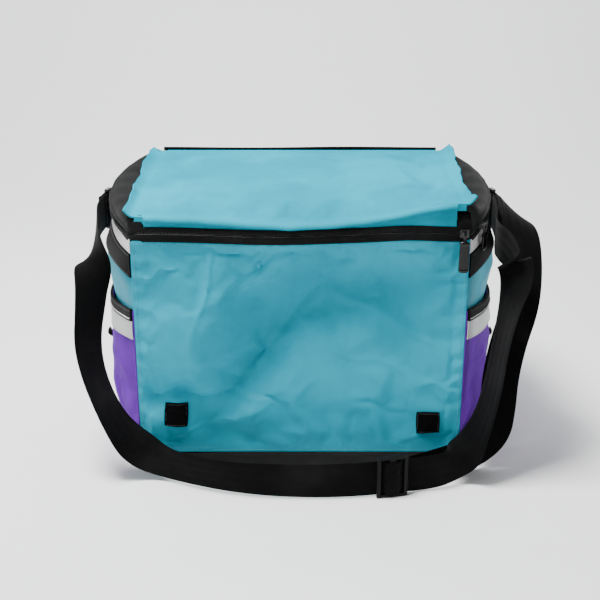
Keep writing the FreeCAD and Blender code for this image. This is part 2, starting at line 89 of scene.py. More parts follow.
def mesh_object(name, verts, faces, uvs=None, smooth_angle=55):
    """A mesh from points in millimetres. uvs is one (u, v) for each vertex, in metres."""
    mesh = bpy.data.meshes.new(name)
    mesh.from_pydata([tuple(v) for v in np.asarray(verts) * MM], [], faces)
    mesh.update()
    if uvs is not None:
        layer = mesh.uv_layers.new(name="UVMap")
        index = np.zeros(len(mesh.loops), dtype=np.int32)
        mesh.loops.foreach_get("vertex_index", index)
        layer.data.foreach_set("uv", np.asarray(uvs, dtype=np.float32)[index].ravel())
    tidy_normals(mesh, smooth_angle)
    return link(bpy.data.objects.new(name, mesh))


def tidy_normals(mesh, smooth_angle=55):
    work = bmesh.new()
    work.from_mesh(mesh)
    bmesh.ops.recalc_face_normals(work, faces=work.faces)
    work.to_mesh(mesh)
    work.free()
    mesh.polygons.foreach_set("use_smooth", [True] * len(mesh.polygons))
    mesh.set_sharp_from_angle(angle=math.radians(smooth_angle))


def grid_normals(rows):
    du = np.gradient(rows, axis=0)
    dv = np.gradient(rows, axis=1)
    n = np.cross(du, dv)
    return n / np.maximum(np.linalg.norm(n, axis=2, keepdims=True), 1e-9)


def sheet_mesh(name, rows, thick, away=None):
    """A closed sheet: rows is an n x m x 3 grid on its outer side, thick its thickness toward the inner side."""
    rows = np.asarray(rows, dtype=float)
    n, m = rows.shape[:2]
    normal = grid_normals(rows)
    if away is not None:
        outward = rows.reshape(-1, 3) - np.asarray(away, dtype=float)
        if (normal.reshape(-1, 3) * outward).sum() < 0:
            normal = -normal
    inner = rows - normal * thick
    verts = np.concatenate([rows.reshape(-1, 3), inner.reshape(-1, 3)])
    step_u = np.linalg.norm(np.diff(rows, axis=0), axis=2).mean(axis=1)
    step_v = np.linalg.norm(np.diff(rows, axis=1), axis=2).mean(axis=0)
    u = np.concatenate([[0], np.cumsum(step_u)])
    v = np.concatenate([[0], np.cumsum(step_v)])
    uv = np.stack(np.meshgrid(u, v, indexing="ij"), axis=2).reshape(-1, 2) * MM
    faces = []
    back = n * m
    for i in range(n - 1):
        for j in range(m - 1):
            a, b, c, d = i * m + j, (i + 1) * m + j, (i + 1) * m + j + 1, i * m + j + 1
            faces.append((a, b, c, d))
            faces.append((a + back, d + back, c + back, b + back))
    rim = [i * m for i in range(n)] + [(n - 1) * m + j for j in range(1, m)]
    rim += [i * m + m - 1 for i in range(n - 2, -1, -1)] + [j for j in range(m - 2, 0, -1)]
    for a, b in zip(rim, rim[1:] + rim[:1]):
        faces.append((a, a + back, b + back, b))
    return mesh_object(name, verts, faces, np.concatenate([uv, uv]))


def tube_mesh(name, points, radius, sides=10, closed=False, uv_scale=1.0):
    """A round tube along points in millimetres."""
    points = np.asarray(points, dtype=float)
    tangent = np.gradient(points, axis=0)
    tangent /= np.linalg.norm(tangent, axis=1, keepdims=True)
    up = np.array([0.0, 0.0, 1.0])
    verts, uvs, faces = [], [], []
    length = np.concatenate([[0], np.cumsum(np.linalg.norm(np.diff(points, axis=0), axis=1))])
    for i, (p, t) in enumerate(zip(points, tangent)):
        side = np.cross(t, up if abs(t[2]) < 0.95 else np.array([1.0, 0, 0]))
        side /= np.linalg.norm(side)
        other = np.cross(side, t)
        for k in range(sides):
            a = 2 * math.pi * k / sides
            verts.append(p + radius * (math.cos(a) * side + math.sin(a) * other))
            uvs.append((length[i] * MM * uv_scale, k / sides * 2 * math.pi * radius * MM))
    n = len(points)
    for i in range(n if closed else n - 1):
        for k in range(sides):
            a, b = i * sides + k, i * sides + (k + 1) % sides
            c, d = (i + 1) % n * sides + (k + 1) % sides, (i + 1) % n * sides + k
            faces.append((a, b, c, d))
    if not closed:
        faces.append(tuple(range(sides))[::-1])
        faces.append(tuple((n - 1) * sides + k for k in range(sides)))
    return mesh_object(name, verts, faces, uvs)


# ---------------------------------------------------------------- shoulder strap (mm, with the width's direction)
STRAP_LEFT = [
    (-223.3, 30.4, 243.0, 0.0, 0.0, 1.0),
    (-225.0, 8.0, 243.0, 0.0, 0.0, 1.0),
    (-224.0, -22.0, 243.0, 0.0, 0.0, 1.0),
    (-220.0, -52.0, 243.0, 0.1, 0.0, 0.99),
    (-217.0, -84.0, 236.0, 0.25, 0.25, 0.93),
    (-216.0, -108.0, 212.0, 0.45, 0.6, 0.6),
    (-218.0, -124.0, 178.0, 0.58, 0.75, 0.25),
    (-221.0, -134.0, 146.0, 0.55, 0.82, 0.05),
    (-217.0, -140.0, 117.0, 0.45, 0.88, -0.05),
    (-207.0, -147.0, 88.0, 0.42, 0.9, -0.05),
    (-192.0, -153.0, 58.0, 0.35, 0.85, 0.25),
    (-172.0, -159.0, 35.0, 0.15, 0.55, 0.82),
    (-142.0, -168.0, 22.0, 0.05, -0.1, 0.98),
    (-106.0, -184.0, 20.0, 0.0, -0.2, 0.98),
    (-66.0, -197.0, 20.0, 0.0, -0.15, 0.99),
    (-20.0, -203.0, 20.0, 0.0, -0.05, 1.0),
    (28.0, -203.5, 20.0, 0.0, 0.0, 1.0),
    (70.0, -199.5, 20.0, 0.0, 0.0, 1.0),
    (112.0, -191.0, 20.0, 0.0, 0.0, 1.0),
]
STRAP_INNER = [
    (112.3, -190.9, 20.0, 0.0, 0.0, 1.0),
    (140.0, -185.3, 20.0, 0.0, 0.0, 1.0),
    (160.0, -177.0, 24.0, 0.0, 0.0, 1.0),
    (177.0, -168.0, 40.0, -0.35, 0.75, 0.45),
    (191.0, -161.0, 68.0, -0.38, 0.9, -0.15),
    (200.0, -155.0, 104.0, -0.3, 0.94, -0.1),
    (206.0, -150.0, 150.0, -0.25, 0.96, -0.05),
    (213.0, -146.0, 188.0, -0.35, 0.93, 0.0),
    (221.0, -139.0, 220.0, -0.5, 0.6, 0.6),
    (213.0, -128.0, 241.0, -0.2, 0.3, 0.93),
    (203.0, -106.0, 247.0, 0.0, 0.1, 0.99),
    (207.0, -76.0, 245.0, 0.0, 0.0, 1.0),
    (214.0, -45.0, 243.0, 0.0, 0.0, 1.0),
    (219.0, -10.0, 243.0, 0.0, 0.0, 1.0),
    (221.8, 30.6, 243.0, 0.0, 0.0, 1.0),
]
STRAP_OUTER = [
    (112.0, -186.5, 20.0, 0.0, 0.0, 1.0),
    (140.0, -171.0, 20.0, 0.0, 0.0, 1.0),
    (170.0, -152.0, 20.0, 0.0, 0.0, 1.0),
    (192.0, -141.0, 22.0, -0.05, 0.0, 1.0),
    (207.0, -135.0, 40.0, -0.35, 0.2, 0.9),
    (211.0, -131.0, 70.0, -0.7, 0.3, 0.6),
    (212.0, -128.0, 102.0, -0.9, 0.3, 0.3),
    (219.0, -123.0, 140.0, -0.95, 0.28, 0.2),
    (231.0, -118.0, 180.0, -0.93, 0.25, 0.3),
    (234.0, -104.0, 218.0, -0.9, 0.2, 0.3),
    (233.0, -84.0, 250.0, -0.85, 0.1, 0.3),
    (231.0, -54.0, 264.0, -0.8, 0.0, 0.55),
    (229.5, -28.0, 257.0, -0.45, 0.0, 0.88),
    (227.5, -1.0, 243.5, -0.1, 0.0, 0.99),
    (225.2, 29.5, 243.0, 0.0, 0.0, 1.0),
]


def spline_points(name, columns, steps):
    """Points along a NURBS through the given control points, read back from Blender."""
    curve = bpy.data.curves.new(name, "CURVE")
    curve.dimensions = "3D"
    curve.resolution_u = steps
    line = curve.splines.new("NURBS")
    line.points.add(len(columns) - 1)
    for point, place in zip(line.points, columns):
        point.co = (*place, 1.0)
    line.order_u = 3
    line.use_endpoint_u = True
    holder = link(bpy.data.objects.new(name, curve))
    bpy.context.view_layer.update()
    mesh = bpy.data.meshes.new_from_object(holder.evaluated_get(bpy.context.evaluated_depsgraph_get()))
    points = np.array([v.co[:] for v in mesh.vertices])
    bpy.data.objects.remove(holder)
    bpy.data.meshes.remove(mesh)
    return points


def ribbon_mesh(name, centre, across, width, thick, cup=0.0):
    """Webbing along centre (mm), with rounded edges. cup bows its section a little."""
    tangent = np.gradient(centre, axis=0)
    tangent /= np.linalg.norm(tangent, axis=1, keepdims=True)
    across = across - tangent * (across * tangent).sum(axis=1, keepdims=True)
    across /= np.linalg.norm(across, axis=1, keepdims=True)
    normal = np.cross(tangent, across)
    half_w, half_t = width / 2, thick / 2
    profile = []
    spots = np.linspace(-1, 1, 11)
    for s in spots:
        edge = 1 - max(0.0, abs(s) - 0.93) / 0.07 * 0.45
        profile.append((s * half_w, half_t * edge))
    profile += [(s, -t) for s, t in profile[::-1]]
    length = np.concatenate([[0], np.cumsum(np.linalg.norm(np.diff(centre, axis=0), axis=1))])
    verts, uvs, faces = [], [], []
    count = len(profile)
    for i in range(len(centre)):
        for s, t in profile:
            bow = cup * (1 - (s / half_w) ** 2)
            verts.append(centre[i] + across[i] * s + normal[i] * (t + bow))
            uvs.append((length[i] * MM, s * MM))
    for i in range(len(centre) - 1):
        for k in range(count):
            a, b = i * count + k, i * count + (k + 1) % count
            faces.append((a, b, b + count, a + count))
    faces.append(tuple(range(count))[::-1])
    faces.append(tuple((len(centre) - 1) * count + k for k in range(count)))
    return mesh_object(name, verts, faces, uvs), length[-1]


def strap_run(name, route, cup=0.0):
    centre = spline_points(name + "_line", [tuple(c * MM for c in p[:3]) for p in route], 10) / MM
    across = spline_points(name + "_width", [p[3:] for p in route], 10)
    obj = ribbon_mesh(name, centre, across, WEBBING, STRAP_T, cup)[0]
    return obj, centre


strap_left, line_left = strap_run("strap_left_run", STRAP_LEFT)
strap_inner, line_inner = strap_run("strap_inner", STRAP_INNER)
strap_outer, line_outer = strap_run("strap_outer", STRAP_OUTER)

# ---------------------------------------------------------------- how the soft walls sag (mm)
# points on the front panel as (x, z, how far the cloth stands out)
FRONT_SAG = [
    (-151, 233, 1), (-126, 237, -1), (-124, 192, 3), (-153, 192, 1), (-144, 159, 5), (-106, 129, 8),
    (-98, 159, 7), (-90, 192, 4), (-81, 230, -2), (-157, 114, 3), (-51, 192, -11), (-50, 219, -9),
    (-15, 230, -8), (-31, 159, -15), (-62, 125, -12), (-79, 102, -6), (0, 192, -19), (-15, 153, -19),
    (-40, 125, -18), (-63, 96, -12), (25, 208, -19), (41, 192, -17), (81, 208, -15), (60, 233, -8),
    (121, 233, -4), (122, 208, -8), (158, 202, -3), (31, 159, -13), (83, 148, -9), (134, 159, -5),
    (0, 114, -8), (53, 90, -3), (105, 102, -4), (147, 114, -2), (-158, 89, -5), (-126, 88, -7),
    (-74, 87, -7), (-32, 81, -5), (-129, 73, 2), (-131, 50, 3), (-53, 61, 2), (0, 67, 2),
    (-53, 36, -1), (32, 44, -1), (85, 67, 0), (136, 53, 1), (150, 32, 0), (-161, 56, 2),
]
BACK_SAG = [
    (-120, 220, 1), (-60, 225, -5), (0, 205, -9), (70, 215, -6), (130, 200, 1), (-100, 150, 2),
    (-30, 150, -6), (40, 140, -8), (110, 130, 2), (-130, 90, 1), (-50, 85, 3), (30, 80, 2),
    (100, 70, -3), (-80, 45, -2), (0, 40, 2), (70, 35, 0), (140, 40, 1),
]
# points on each side panel as (y, z, how far it stands out)
SIDE_SAG = [
    (-110, 230, 0), (-60, 225, 1), (0, 222, 0), (60, 225, -1), (110, 225, 0), (-100, 195, -2),
    (-40, 190, 2), (30, 195, -1), (90, 190, 1), (-70, 150, 0), (20, 140, 1), (90, 120, -2),
    (-90, 90, 1), (-20, 80, -1), (60, 70, 1), (-50, 40, 0), (40, 35, 0),
]
POCKET_SAG = [
    (-110, 150, 0), (-70, 155, 1.5), (-20, 150, 0), (40, 152, 1.5), (100, 150, 0), (-95, 110, 2),
    (-45, 115, -1.5), (10, 105, 2), (70, 110, -1), (-100, 75, -2), (-60, 72, 1.5), (0, 78, -2.5),
    (60, 72, 1), (105, 75, -1.5), (-80, 52, 2.5), (-25, 56, 2), (30, 52, 2.5), (85, 55, 1.5),
    (-60, 32, -1), (0, 34, -1.5), (60, 32, -1),
]


# creases on the front panel: from (x, z) to (x, z), how far they stand out, and their width
FRONT_CREASES = [
    (-162, 85, -77, 83, -3.0, 5), (-77, 83, -20, 76, -1.6, 6), (-161, 110, -140, 102, -2.0, 4), (-165, 213,
            -129, 228, 2.4, 5),
    (-152, 190, -142, 162, 1.8, 5), (25, 200, -66, 92, -5.0, 9), (25, 200, 130, 146, 2.6, 9), (57, 246, 36,
            220, -4.0, 8),
    (-46, 230, -38, 222, -4.0, 9), (-137, 40, -34, 70, 2.0, 9), (66, 76, 122, 58, -1.8, 8), (142, 256, 164,
            246, -2.4, 5),
    (128, 212, 166, 222, 2.0, 6), (-118, 120, -88, 236, 2.6, 9), (-168, 150, -150, 146, -1.6, 4), (120, 100,
            166, 92, 1.6, 6),
    (-20, 240, 60, 232, -2.0, 7), (30, 130, 110, 112, 1.8, 8), (-120, 55, -100, 78, 1.4, 5), (100, 30, 160,
            42, -1.2, 6),
]
BACK_CREASES = [(-140, 180, -60, 200, 2, 8), (40, 190, 130, 150, -3, 9), (-60, 120, 60, 100, -2.5, 9),
        (-150, 60, -70, 70, -2, 7)]
SIDE_CREASES = [(-120, 196, -30, 205, 1.6, 7), (40, 200, 120, 190, -1.6, 7), (-128, 205, -100, 186, -2.0, 5),
        (-20, 196, 30, 192, -1.4, 6)]


def crease_field(table, a, b):
    """Ridges and valleys along straight lines, sharp at their middle and fading at their ends."""
    out = np.zeros(np.broadcast(a, b).shape)
    for a0, b0, a1, b1, height, width in table:
        way = np.array([a1 - a0, b1 - b0], float)
        length = np.linalg.norm(way)
        way /= length
        t = ((a - a0) * way[0] + (b - b0) * way[1]) / length
        off = (a - a0) * -way[1] + (b - b0) * way[0] + 2.5 * np.sin(t * 9 + a0)
        out = out + height * np.exp(-np.sqrt(off**2 + 1.2) / width) * ramp(t, -0.25,
                0.2) * (1 - ramp(t, 0.75, 1.25))
    return out


def sag_field(table, reach=9.0):
    """A smooth height field through the table's points."""
    points = np.array(table, dtype=float)
    gap = np.linalg.norm(points[:, None, :2] - points[None, :, :2], axis=2)
    weight = np.linalg.solve(-np.sqrt(gap**2 + reach**2), points[:, 2])

    def at(a, b):
        a, b = np.broadcast_arrays(np.asarray(a, float), np.asarray(b, float))
        d = np.sqrt((a[..., None] - points[:, 0]) ** 2 + (b[..., None] - points[:, 1]) ** 2 + reach**2)
        return -(d * weight).sum(axis=-1)

    return at


front_field, back_field = sag_field(FRONT_SAG, 4.0), sag_field(BACK_SAG, 12.0)
side_field, pocket_field = sag_field(SIDE_SAG, 14.0), sag_field(POCKET_SAG, 9.0)


def ramp(x, start, end):
    t = np.clip((np.asarray(x, float) - start) / (end - start), 0, 1)
    return t * t * (3 - 2 * t)


def table_at(table, x):
    return np.interp(x, [a for a, _ in table], [b for _, b in table])


def ring_z(y, x=0.0):
    """Underside of the zipper. Along the front it dips a little in the middle."""
    dip = -3.5 * np.exp(-(((np.asarray(x, float) + 25) / 75) ** 2)) + 1.6 * np.exp(-(((np.asarray(x,
            float) - 110) / 30) ** 2))
    return RING_H + SLOPE * (np.asarray(y, float) + HALF_D) + dip * (1 - ramp(y, -HALF_D + 1, -HALF_D + 20))


def lid_z(y):
    return LID_Z + LID_SLOPE * (np.asarray(y, float) + HALF_D)


def front_out(x, z):
    """How far the front cloth stands out at a point, nothing at its seams."""
    edge = ramp(HALF_W - np.abs(x), 0, 14) * ramp(z, BASE_H, BASE_H + 14) * ramp(ring_z(-HALF_D, x) - z, 0,
            16)
    seam = np.exp(-(HALF_W - np.abs(x)) / 9.0) * ramp(HALF_W - np.abs(x), 0, 3)
    pucker = 1.3 * seam * np.sin(z / 3.1 + 1.7 * np.sin(z / 17.0)) * ramp(z, 30, 50)
    top = np.exp(-np.abs(ring_z(-HALF_D, x) - z) / 8.0) * ramp(ring_z(-HALF_D, x) - z, 0, 3)
    return (1.35 * front_field(x, z) + 1.25 * crease_field(FRONT_CREASES, x,
            z)) * edge + pucker + 0.8 * top * np.sin(x / 3.7 + 2.1 * np.sin(x / 29.0))


def back_out(x, z):
    edge = ramp(HALF_W - np.abs(x), 0, 16) * ramp(z, BASE_H, BASE_H + 14) * ramp(ring_z(HALF_D) - z, 0, 16)
    return (back_field(x, z) + crease_field(BACK_CREASES, x, z)) * edge


def side_point(y, z, out=0.0, slack=0.0, mirror=1):
    """A point on the bulged right side, or on the left with mirror = -1."""
    y, z = np.broadcast_arrays(np.asarray(y, float), np.asarray(z, float))
    sagitta = table_at(BULGE, z) + slack
    radius = (HALF_D**2 + sagitta**2) / (2 * sagitta)
    x = HALF_W + out + np.sqrt(np.maximum(radius**2 - y**2, 0)) - (radius - sagitta)
    edge = ramp(HALF_D - np.abs(y), 0, 30) * ramp(z, BASE_H, BASE_H + 14)
    x = x + (side_field(y, z) + crease_field(SIDE_CREASES, y * mirror, z)) * edge * (1 - ramp(z, 236, 250))
    return np.stack([mirror * x, y, z], axis=-1)


def grid(a, b):
    return np.meshgrid(a, b, indexing="ij")


def wall_rows(kind, count_u, count_v, out=0.0, low=BASE_H, high=None):
    """Rows of points over one wall, from its bottom to the zipper, moved outward by out."""
    s, t = grid(np.linspace(-1, 1, count_u), np.linspace(0, 1, count_v))
    if kind in ("front", "back"):
        x = s * (HALF_W + out)
        y0 = -HALF_D if kind == "front" else HALF_D
        top = ring_z(y0, x) if kind == "front" else ring_z(y0) + 0 * x
        z = low + (top + (high or 0) - low) * t
        stand = front_out(x, z) if kind == "front" else back_out(x, z)
        y = y0 + (-1 if kind == "front" else 1) * (stand + out)
        return np.stack([x, y, z], axis=-1)
    y = s * (HALF_D + min(out, 0))
    z = low + (ring_z(y) + (high or 0) - low) * t
    return side_point(y, z, out, mirror=1 if kind == "right" else -1)


# ---------------------------------------------------------------- cloth settling
def settle(obj, pinned, pressure, frames=16, spare=0.0, stiff=12.0, bend=0.6, cap=8.0):
    """Lets a cloth mesh settle under pressure with some points held, and keeps what it does under cap mm."""
    rest = np.array([v.co[:] for v in obj.data.vertices])
    group = obj.vertex_groups.new(name="held")
    for index, weight in enumerate(pinned):
        if weight > 0:
            group.add([index], float(weight), "REPLACE")
    cloth = obj.modifiers.new("cloth", "CLOTH")
    cloth.settings.quality = 5
    cloth.settings.mass = 0.15
    cloth.settings.tension_stiffness = stiff
    cloth.settings.compression_stiffness = stiff
    cloth.settings.shear_stiffness = stiff * 0.4
    cloth.settings.bending_stiffness = bend
    cloth.settings.vertex_group_mass = "held"
    cloth.settings.use_pressure = pressure != 0
    cloth.settings.uniform_pressure_force = pressure
    cloth.settings.shrink_min = -spare
    cloth.settings.effector_weights.gravity = 0.0
    cloth.collision_settings.use_collision = False
    cloth.collision_settings.use_self_collision = False
    cloth.point_cache.frame_start = 1
    cloth.point_cache.frame_end = frames
    for number in range(1, frames + 1):
        scene.frame_set(number)
    graph = bpy.context.evaluated_depsgraph_get()
    done = np.array([v.co[:] for v in obj.evaluated_get(graph).data.vertices])
    obj.modifiers.remove(cloth)
    obj.vertex_groups.clear()
    scene.frame_set(1)
    move = done - rest
    far = np.linalg.norm(move, axis=1, keepdims=True)
    move *= np.minimum(1.0, cap * MM / np.maximum(far, 1e-9))
    obj.data.vertices.foreach_set("co", (rest + move).astype(np.float32).ravel())
    obj.data.update()


def settled_rows(name, rows, held_rim, pressure, **more):
    """Settles a grid of points, its rim held, and gives the grid back."""
    rows = np.asarray(rows)
    n, m = rows.shape[:2]
    faces = [(i * m + j, (i + 1) * m + j, (i + 1) * m + j + 1,
            i * m + j + 1) for i in range(n - 1) for j in range(m - 1)]
    mesh = bpy.data.meshes.new(name)
    mesh.from_pydata([tuple(v) for v in rows.reshape(-1, 3) * MM], [], faces)
    mesh.update()
    obj = link(bpy.data.objects.new(name, mesh))
    i, j = grid(np.arange(n), np.arange(m))
    rim = np.minimum(np.minimum(i, n - 1 - i), np.minimum(j, m - 1 - j))
    pinned = np.clip(1 - (rim - 1) / held_rim, 0, 1).ravel()
    settle(obj, pinned, pressure, **more)
    out = np.array([v.co[:] for v in obj.data.vertices]).reshape(n, m, 3) / MM
    bpy.data.objects.remove(obj)
    bpy.data.meshes.remove(mesh)
    return out


# ---------------------------------------------------------------- walls
pieces = {}


def keep(obj, material_name, slot_name, body, *nodes):
    """Notes a finished piece: its material, its record slot, the body it rides on and the nodes it stands for."""
    pieces[obj.name] = (obj, material_name, slot_name, body)
    if nodes:
        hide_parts(*nodes)
    return obj


centre_of_bag = (0.0, 0.0, 150.0)
front_rows = settled_rows("front_grid", wall_rows("front", 131, 95), 2, 0.0, spare=0.020, bend=0.12, cap=6.0)
front = sheet_mesh("front_cloth", front_rows, 1.2, centre_of_bag)
keep(front, "teal", "teal_fabric", "root", "front_panel", "front_foam")
back_rows = settled_rows("back_grid", wall_rows("back", 91, 71), 3, 0.0, spare=0.010, bend=0.25, cap=4.0)
back = sheet_mesh("back_cloth", back_rows, 1.2, centre_of_bag)
keep(back, "teal", "teal_fabric", "root", "back_panel", "back_foam")
for side in ("left", "right"):
    rows = wall_rows(side, 91, 71)
    piece = sheet_mesh(side + "_side_cloth", rows, 1.2, centre_of_bag)
    keep(piece, "teal", "teal_fabric", "root", side + "_side_panel", side + "_foam")


def front_surface(x, z):
    """The settled front cloth's y at a point."""
    xs = front_rows[:, 47, 0]
    i = int(np.clip(np.searchsorted(xs, x), 1, len(xs) - 1))
    zs = front_rows[i, :, 2]
    j = int(np.clip(np.searchsorted(zs, z), 1, len(zs) - 1))
    return float(front_rows[i - 1 : i + 1, j - 1 : j + 1, 1].mean())


# welded liner: a tub that follows the walls' sag, with a flat floor and heat-sealed corners
def liner_ring(level):
    """The liner's outline at one level, 0 at its floor and 1 at the zipper."""
    out = -10.2
    points = []
    z_low = 18.6
    for x in np.linspace(-1, 1, 61):
        px = x * (HALF_W + out)
        z = z_low + (float(ring_z(-HALF_D, px)) - 1 - z_low) * level
        points.append((px, -HALF_D - float(front_out(np.array(px), np.array(z))) * 0.9 - out, z))
    for y in np.linspace(-1, 1, 47)[1:-1]:
        py = y * (HALF_D + out)
        z = z_low + (float(ring_z(py)) - 1 - z_low) * level
        points.append(tuple(side_point(py, z, out)))
    for x in np.linspace(1, -1, 61):
        px = x * (HALF_W + out)
        z = z_low + (float(ring_z(HALF_D)) - 1 - z_low) * level
        points.append((px, HALF_D + float(back_out(np.array(px), np.array(z))) * 0.9 + out, z))
    for y in np.linspace(1, -1, 47)[1:-1]:
        py = y * (HALF_D + out)
        z = z_low + (float(ring_z(py)) - 1 - z_low) * level
        points.append(tuple(side_point(py, z, out, mirror=-1)))
    return np.array(points)


def tub_mesh():
    levels = np.concatenate([[0.0], np.linspace(0.02, 1, 40)])
    rings = [liner_ring(level) for level in levels]
    floor = rings[0].mean(axis=0)
    rings = [floor + (rings[0] - floor) * k for k in (0.02, 0.25, 0.5, 0.75, 0.97)] + rings
    rng = np.random.default_rng(4)
    count = len(rings[0])
    verts, uvs, faces = [], [], []
    run = 0.0
    for number, ring in enumerate(rings):
        middle = np.array([0, 0, ring[:, 2].mean()])
        ripple = 0.7 * np.sin(np.arange(count) * 0.9 + number * 0.37) * np.sin(number * 0.61
                + np.arange(count) * 0.13)
        away = ring - middle
        away[:, 2] = 0
        away /= np.maximum(np.linalg.norm(away, axis=1, keepdims=True), 1e-6)
        inner = ring - away * (1.0 + np.abs(ripple))[:, None] * (number > 5)
        if number:
            run += float(np.linalg.norm(ring - rings[number - 1], axis=1).mean())
        around = np.concatenate([[0], np.cumsum(np.linalg.norm(np.diff(ring, axis=0), axis=1))])
        for k in range(count):
            verts.append(inner[k] + (0, 0, 0.15 * rng.random() if number < 5 else 0))
            uvs.append((around[k] * MM, run * MM))
    for number in range(len(rings) - 1):
        for k in range(count):
            a, b = number * count + k, number * count + (k + 1) % count
            faces.append((a, b, b + count, a + count))
    faces.append(tuple(range(count)))
    obj = mesh_object("inner_liner", verts, faces, uvs, 40)
    bottom = obj.modifiers.new("thickness", "SOLIDIFY")
    bottom.thickness = 0.8 * MM
    bottom.offset = 1.0
    return obj


keep(tub_mesh(), "liner", "liner", "root", "liner_tub")


# ---------------------------------------------------------------- the zipper's path round the front and both sides
def ring_path(count_front=140, count_side=90, back_y=125.0, out=0.0):
    """Points under the zipper from the left side's back, round the front, to the right side's back."""
    y = np.linspace(back_y, -HALF_D, count_side)
    left = side_point(y, ring_z(y), out, mirror=-1)
    left[:, 2] = ring_z(y)
    x = np.linspace(-HALF_W, HALF_W, count_front)[1:-1]
    front_line = np.stack([x, np.full_like(x, -HALF_D - out), ring_z(-HALF_D, x)], axis=-1)
    right = left[::-1] * np.array([-1, 1, 1])
    return np.concatenate([left, front_line, right])


def smooth_corners(path, turns=3):
    path = path.copy()
    for _ in range(turns):
        inner = (path[:-2] + path[1:-1] * 2 + path[2:]) / 4
        path[1:-1] = inner
    return path


ring = smooth_corners(ring_path())
ring_way = np.gradient(ring, axis=0)
ring_way /= np.linalg.norm(ring_way, axis=1, keepdims=True)
ring_out = np.cross(ring_way, np.array([0.0, 0.0, 1.0]))
ring_out /= np.linalg.norm(ring_out, axis=1, keepdims=True)
sideness = ramp(ring[:, 1], -HALF_D + 4, -HALF_D + 30)
ring_s = np.concatenate([[0], np.cumsum(np.linalg.norm(np.diff(ring, axis=0), axis=1))])


def ring_strip(name, profile, thick, wave=0.0):
    """A strip along the zipper: profile is a list of (outward, up, extra outward on the sides)."""
    rows = []
    for outward, up, extra in profile:
        ripple = wave * np.sin(ring_s / 5.3 + 1.9 * np.sin(ring_s / 31.0)) * sideness
        reach = outward + extra * sideness + ripple
        rows.append(ring + ring_out * reach[:, None] + np.array([0, 0, 1.0]) * up)
    rows = np.stack(rows, axis=1)
    return sheet_mesh(name, rows, thick, centre_of_bag)


lower_tape = ring_strip(
    "zipper_tape_low",
    [(0.6, -3.0, 0.1), (0.9, -1.5, 0.6), (1.2, 0, 1.2), (1.4, 1.5, 1.8), (1.4, 3.0, 1.7), (1.0, 4.2, 0.8),
            (0.1, 4.9, -0.2)],
    0.9, 0.25)
keep(lower_tape, "tape", "zipper_tape", "root", "lower_zipper_tape")
upper_tape = ring_strip(
    "zipper_tape_high",
    [(0.1, 7.0, -0.2), (1.0, 7.7, 0.8), (1.4, 8.8, 1.8), (1.4, 10.2, 2.0), (1.1, 11.6, 1.6),
            (0.5, 12.6, 0.6)],
    0.9, 0.25)
keep(upper_tape, "tape", "zipper_tape", "lid", "upper_zipper_tape")


def coil_mesh(name, height, tooth_side):
    """A row of moulded coil turns along the zipper, each a small rounded loop."""
    verts, faces, uvs = [], [], []
    pitch = 1.7
    total = ring_s[-1]
    count = int(total / pitch)
    sections = [(-1.0, -0.45), (-1.0, 0.45), (-0.3, 0.8), (0.7, 0.6), (1.1, 0.0), (0.7, -0.6), (-0.3, -0.8)]
    for n in range(count):
        s = (n + 0.5) * pitch
        at = np.array([np.interp(s, ring_s, ring[:, k]) for k in range(3)])
        way = np.array([np.interp(s, ring_s, ring_way[:, k]) for k in range(3)])
        out = np.cross(way, (0, 0, 1.0))
        out /= np.linalg.norm(out)
        base = len(verts)
        for half in (-0.5, 0.5):
            for a, b in sections:
                spot = at + out * (a * 1.1 - 0.2) + np.array([0, 0,
                        1.0]) * (height + b * 0.95 + tooth_side * 0.25 * (n % 2)) + way * half
                verts.append(spot)
                uvs.append((s * MM, a * MM))
        m = len(sections)
        faces.append(tuple(base + k for k in range(m))[::-1])
        faces.append(tuple(base + m + k for k in range(m)))
        for k in range(m):
            faces.append((base + k, base + (k + 1) % m, base + m + (k + 1) % m, base + m + k))
    return mesh_object(name, verts, faces, uvs)


keep(coil_mesh("coil_low", 5.0, 1), "coil", "zipper_coil", "root", "lower_zipper_coil")
keep(coil_mesh("coil_high", 6.9, -1), "coil", "zipper_coil", "lid", "upper_zipper_coil")

# binding that closes the wall between its cloth and its liner, under the zipper
mouth = ring_strip("mouth_binding", [(-11.5, -1.2, 0), (-9, -0.6, 0), (-5, -0.4, 0), (-1.5, -0.6, 0),
        (0.2, -1.2, 0)], 0.8)
keep(mouth, "tape", "zipper_tape", "root")
back_mouth = [[(x, y, float(ring_z(HALF_D)) - 0.8 + dz) for y,
        dz in ((126, -0.5), (130, 0), (134, 0), (137.5, -0.4))] for x in np.linspace(-176, 176, 60)]
keep(sheet_mesh("mouth_binding_back", back_mouth, 0.8, (0, 0, 0)), "tape", "zipper_tape", "root")


# ---------------------------------------------------------------- base tray
def base_outline(grow, z, wobble=0.0):
    points = []
    corner = [(148.0, -138.0), (158.5, -136.3), (166.5, -133.0), (173.0, -128.6), (178.0, -121.8),
            (181.0, -113.0)]
    flank = [(181 + 9 * (1 - (y / 113.0) ** 2), y) for y in np.linspace(-105, 105, 22)]
    right = corner + flank + [(x, -y) for x, y in corner[::-1]]
    front_line = [(x, -138.0) for x in np.linspace(-140, 140, 36)]
    outline = front_line + right + [(-x, y) for x, y in front_line] + [(-x, y) for x, y in right[::-1]]
    outline = outline[:36] + right + [(-x, 138.0) for x in np.linspace(-140, 140, 36)] + [(-x, y) for x,
            y in right[::-1]]
    for number, (x, y) in enumerate(outline):
        length = math.hypot(x, y)
        shift = grow + wobble * math.sin(number * 0.7 + z * 0.3) * math.sin(number * 0.19)
        points.append((x + x / length * shift, y + y / length * shift, z))
    return np.array(points)


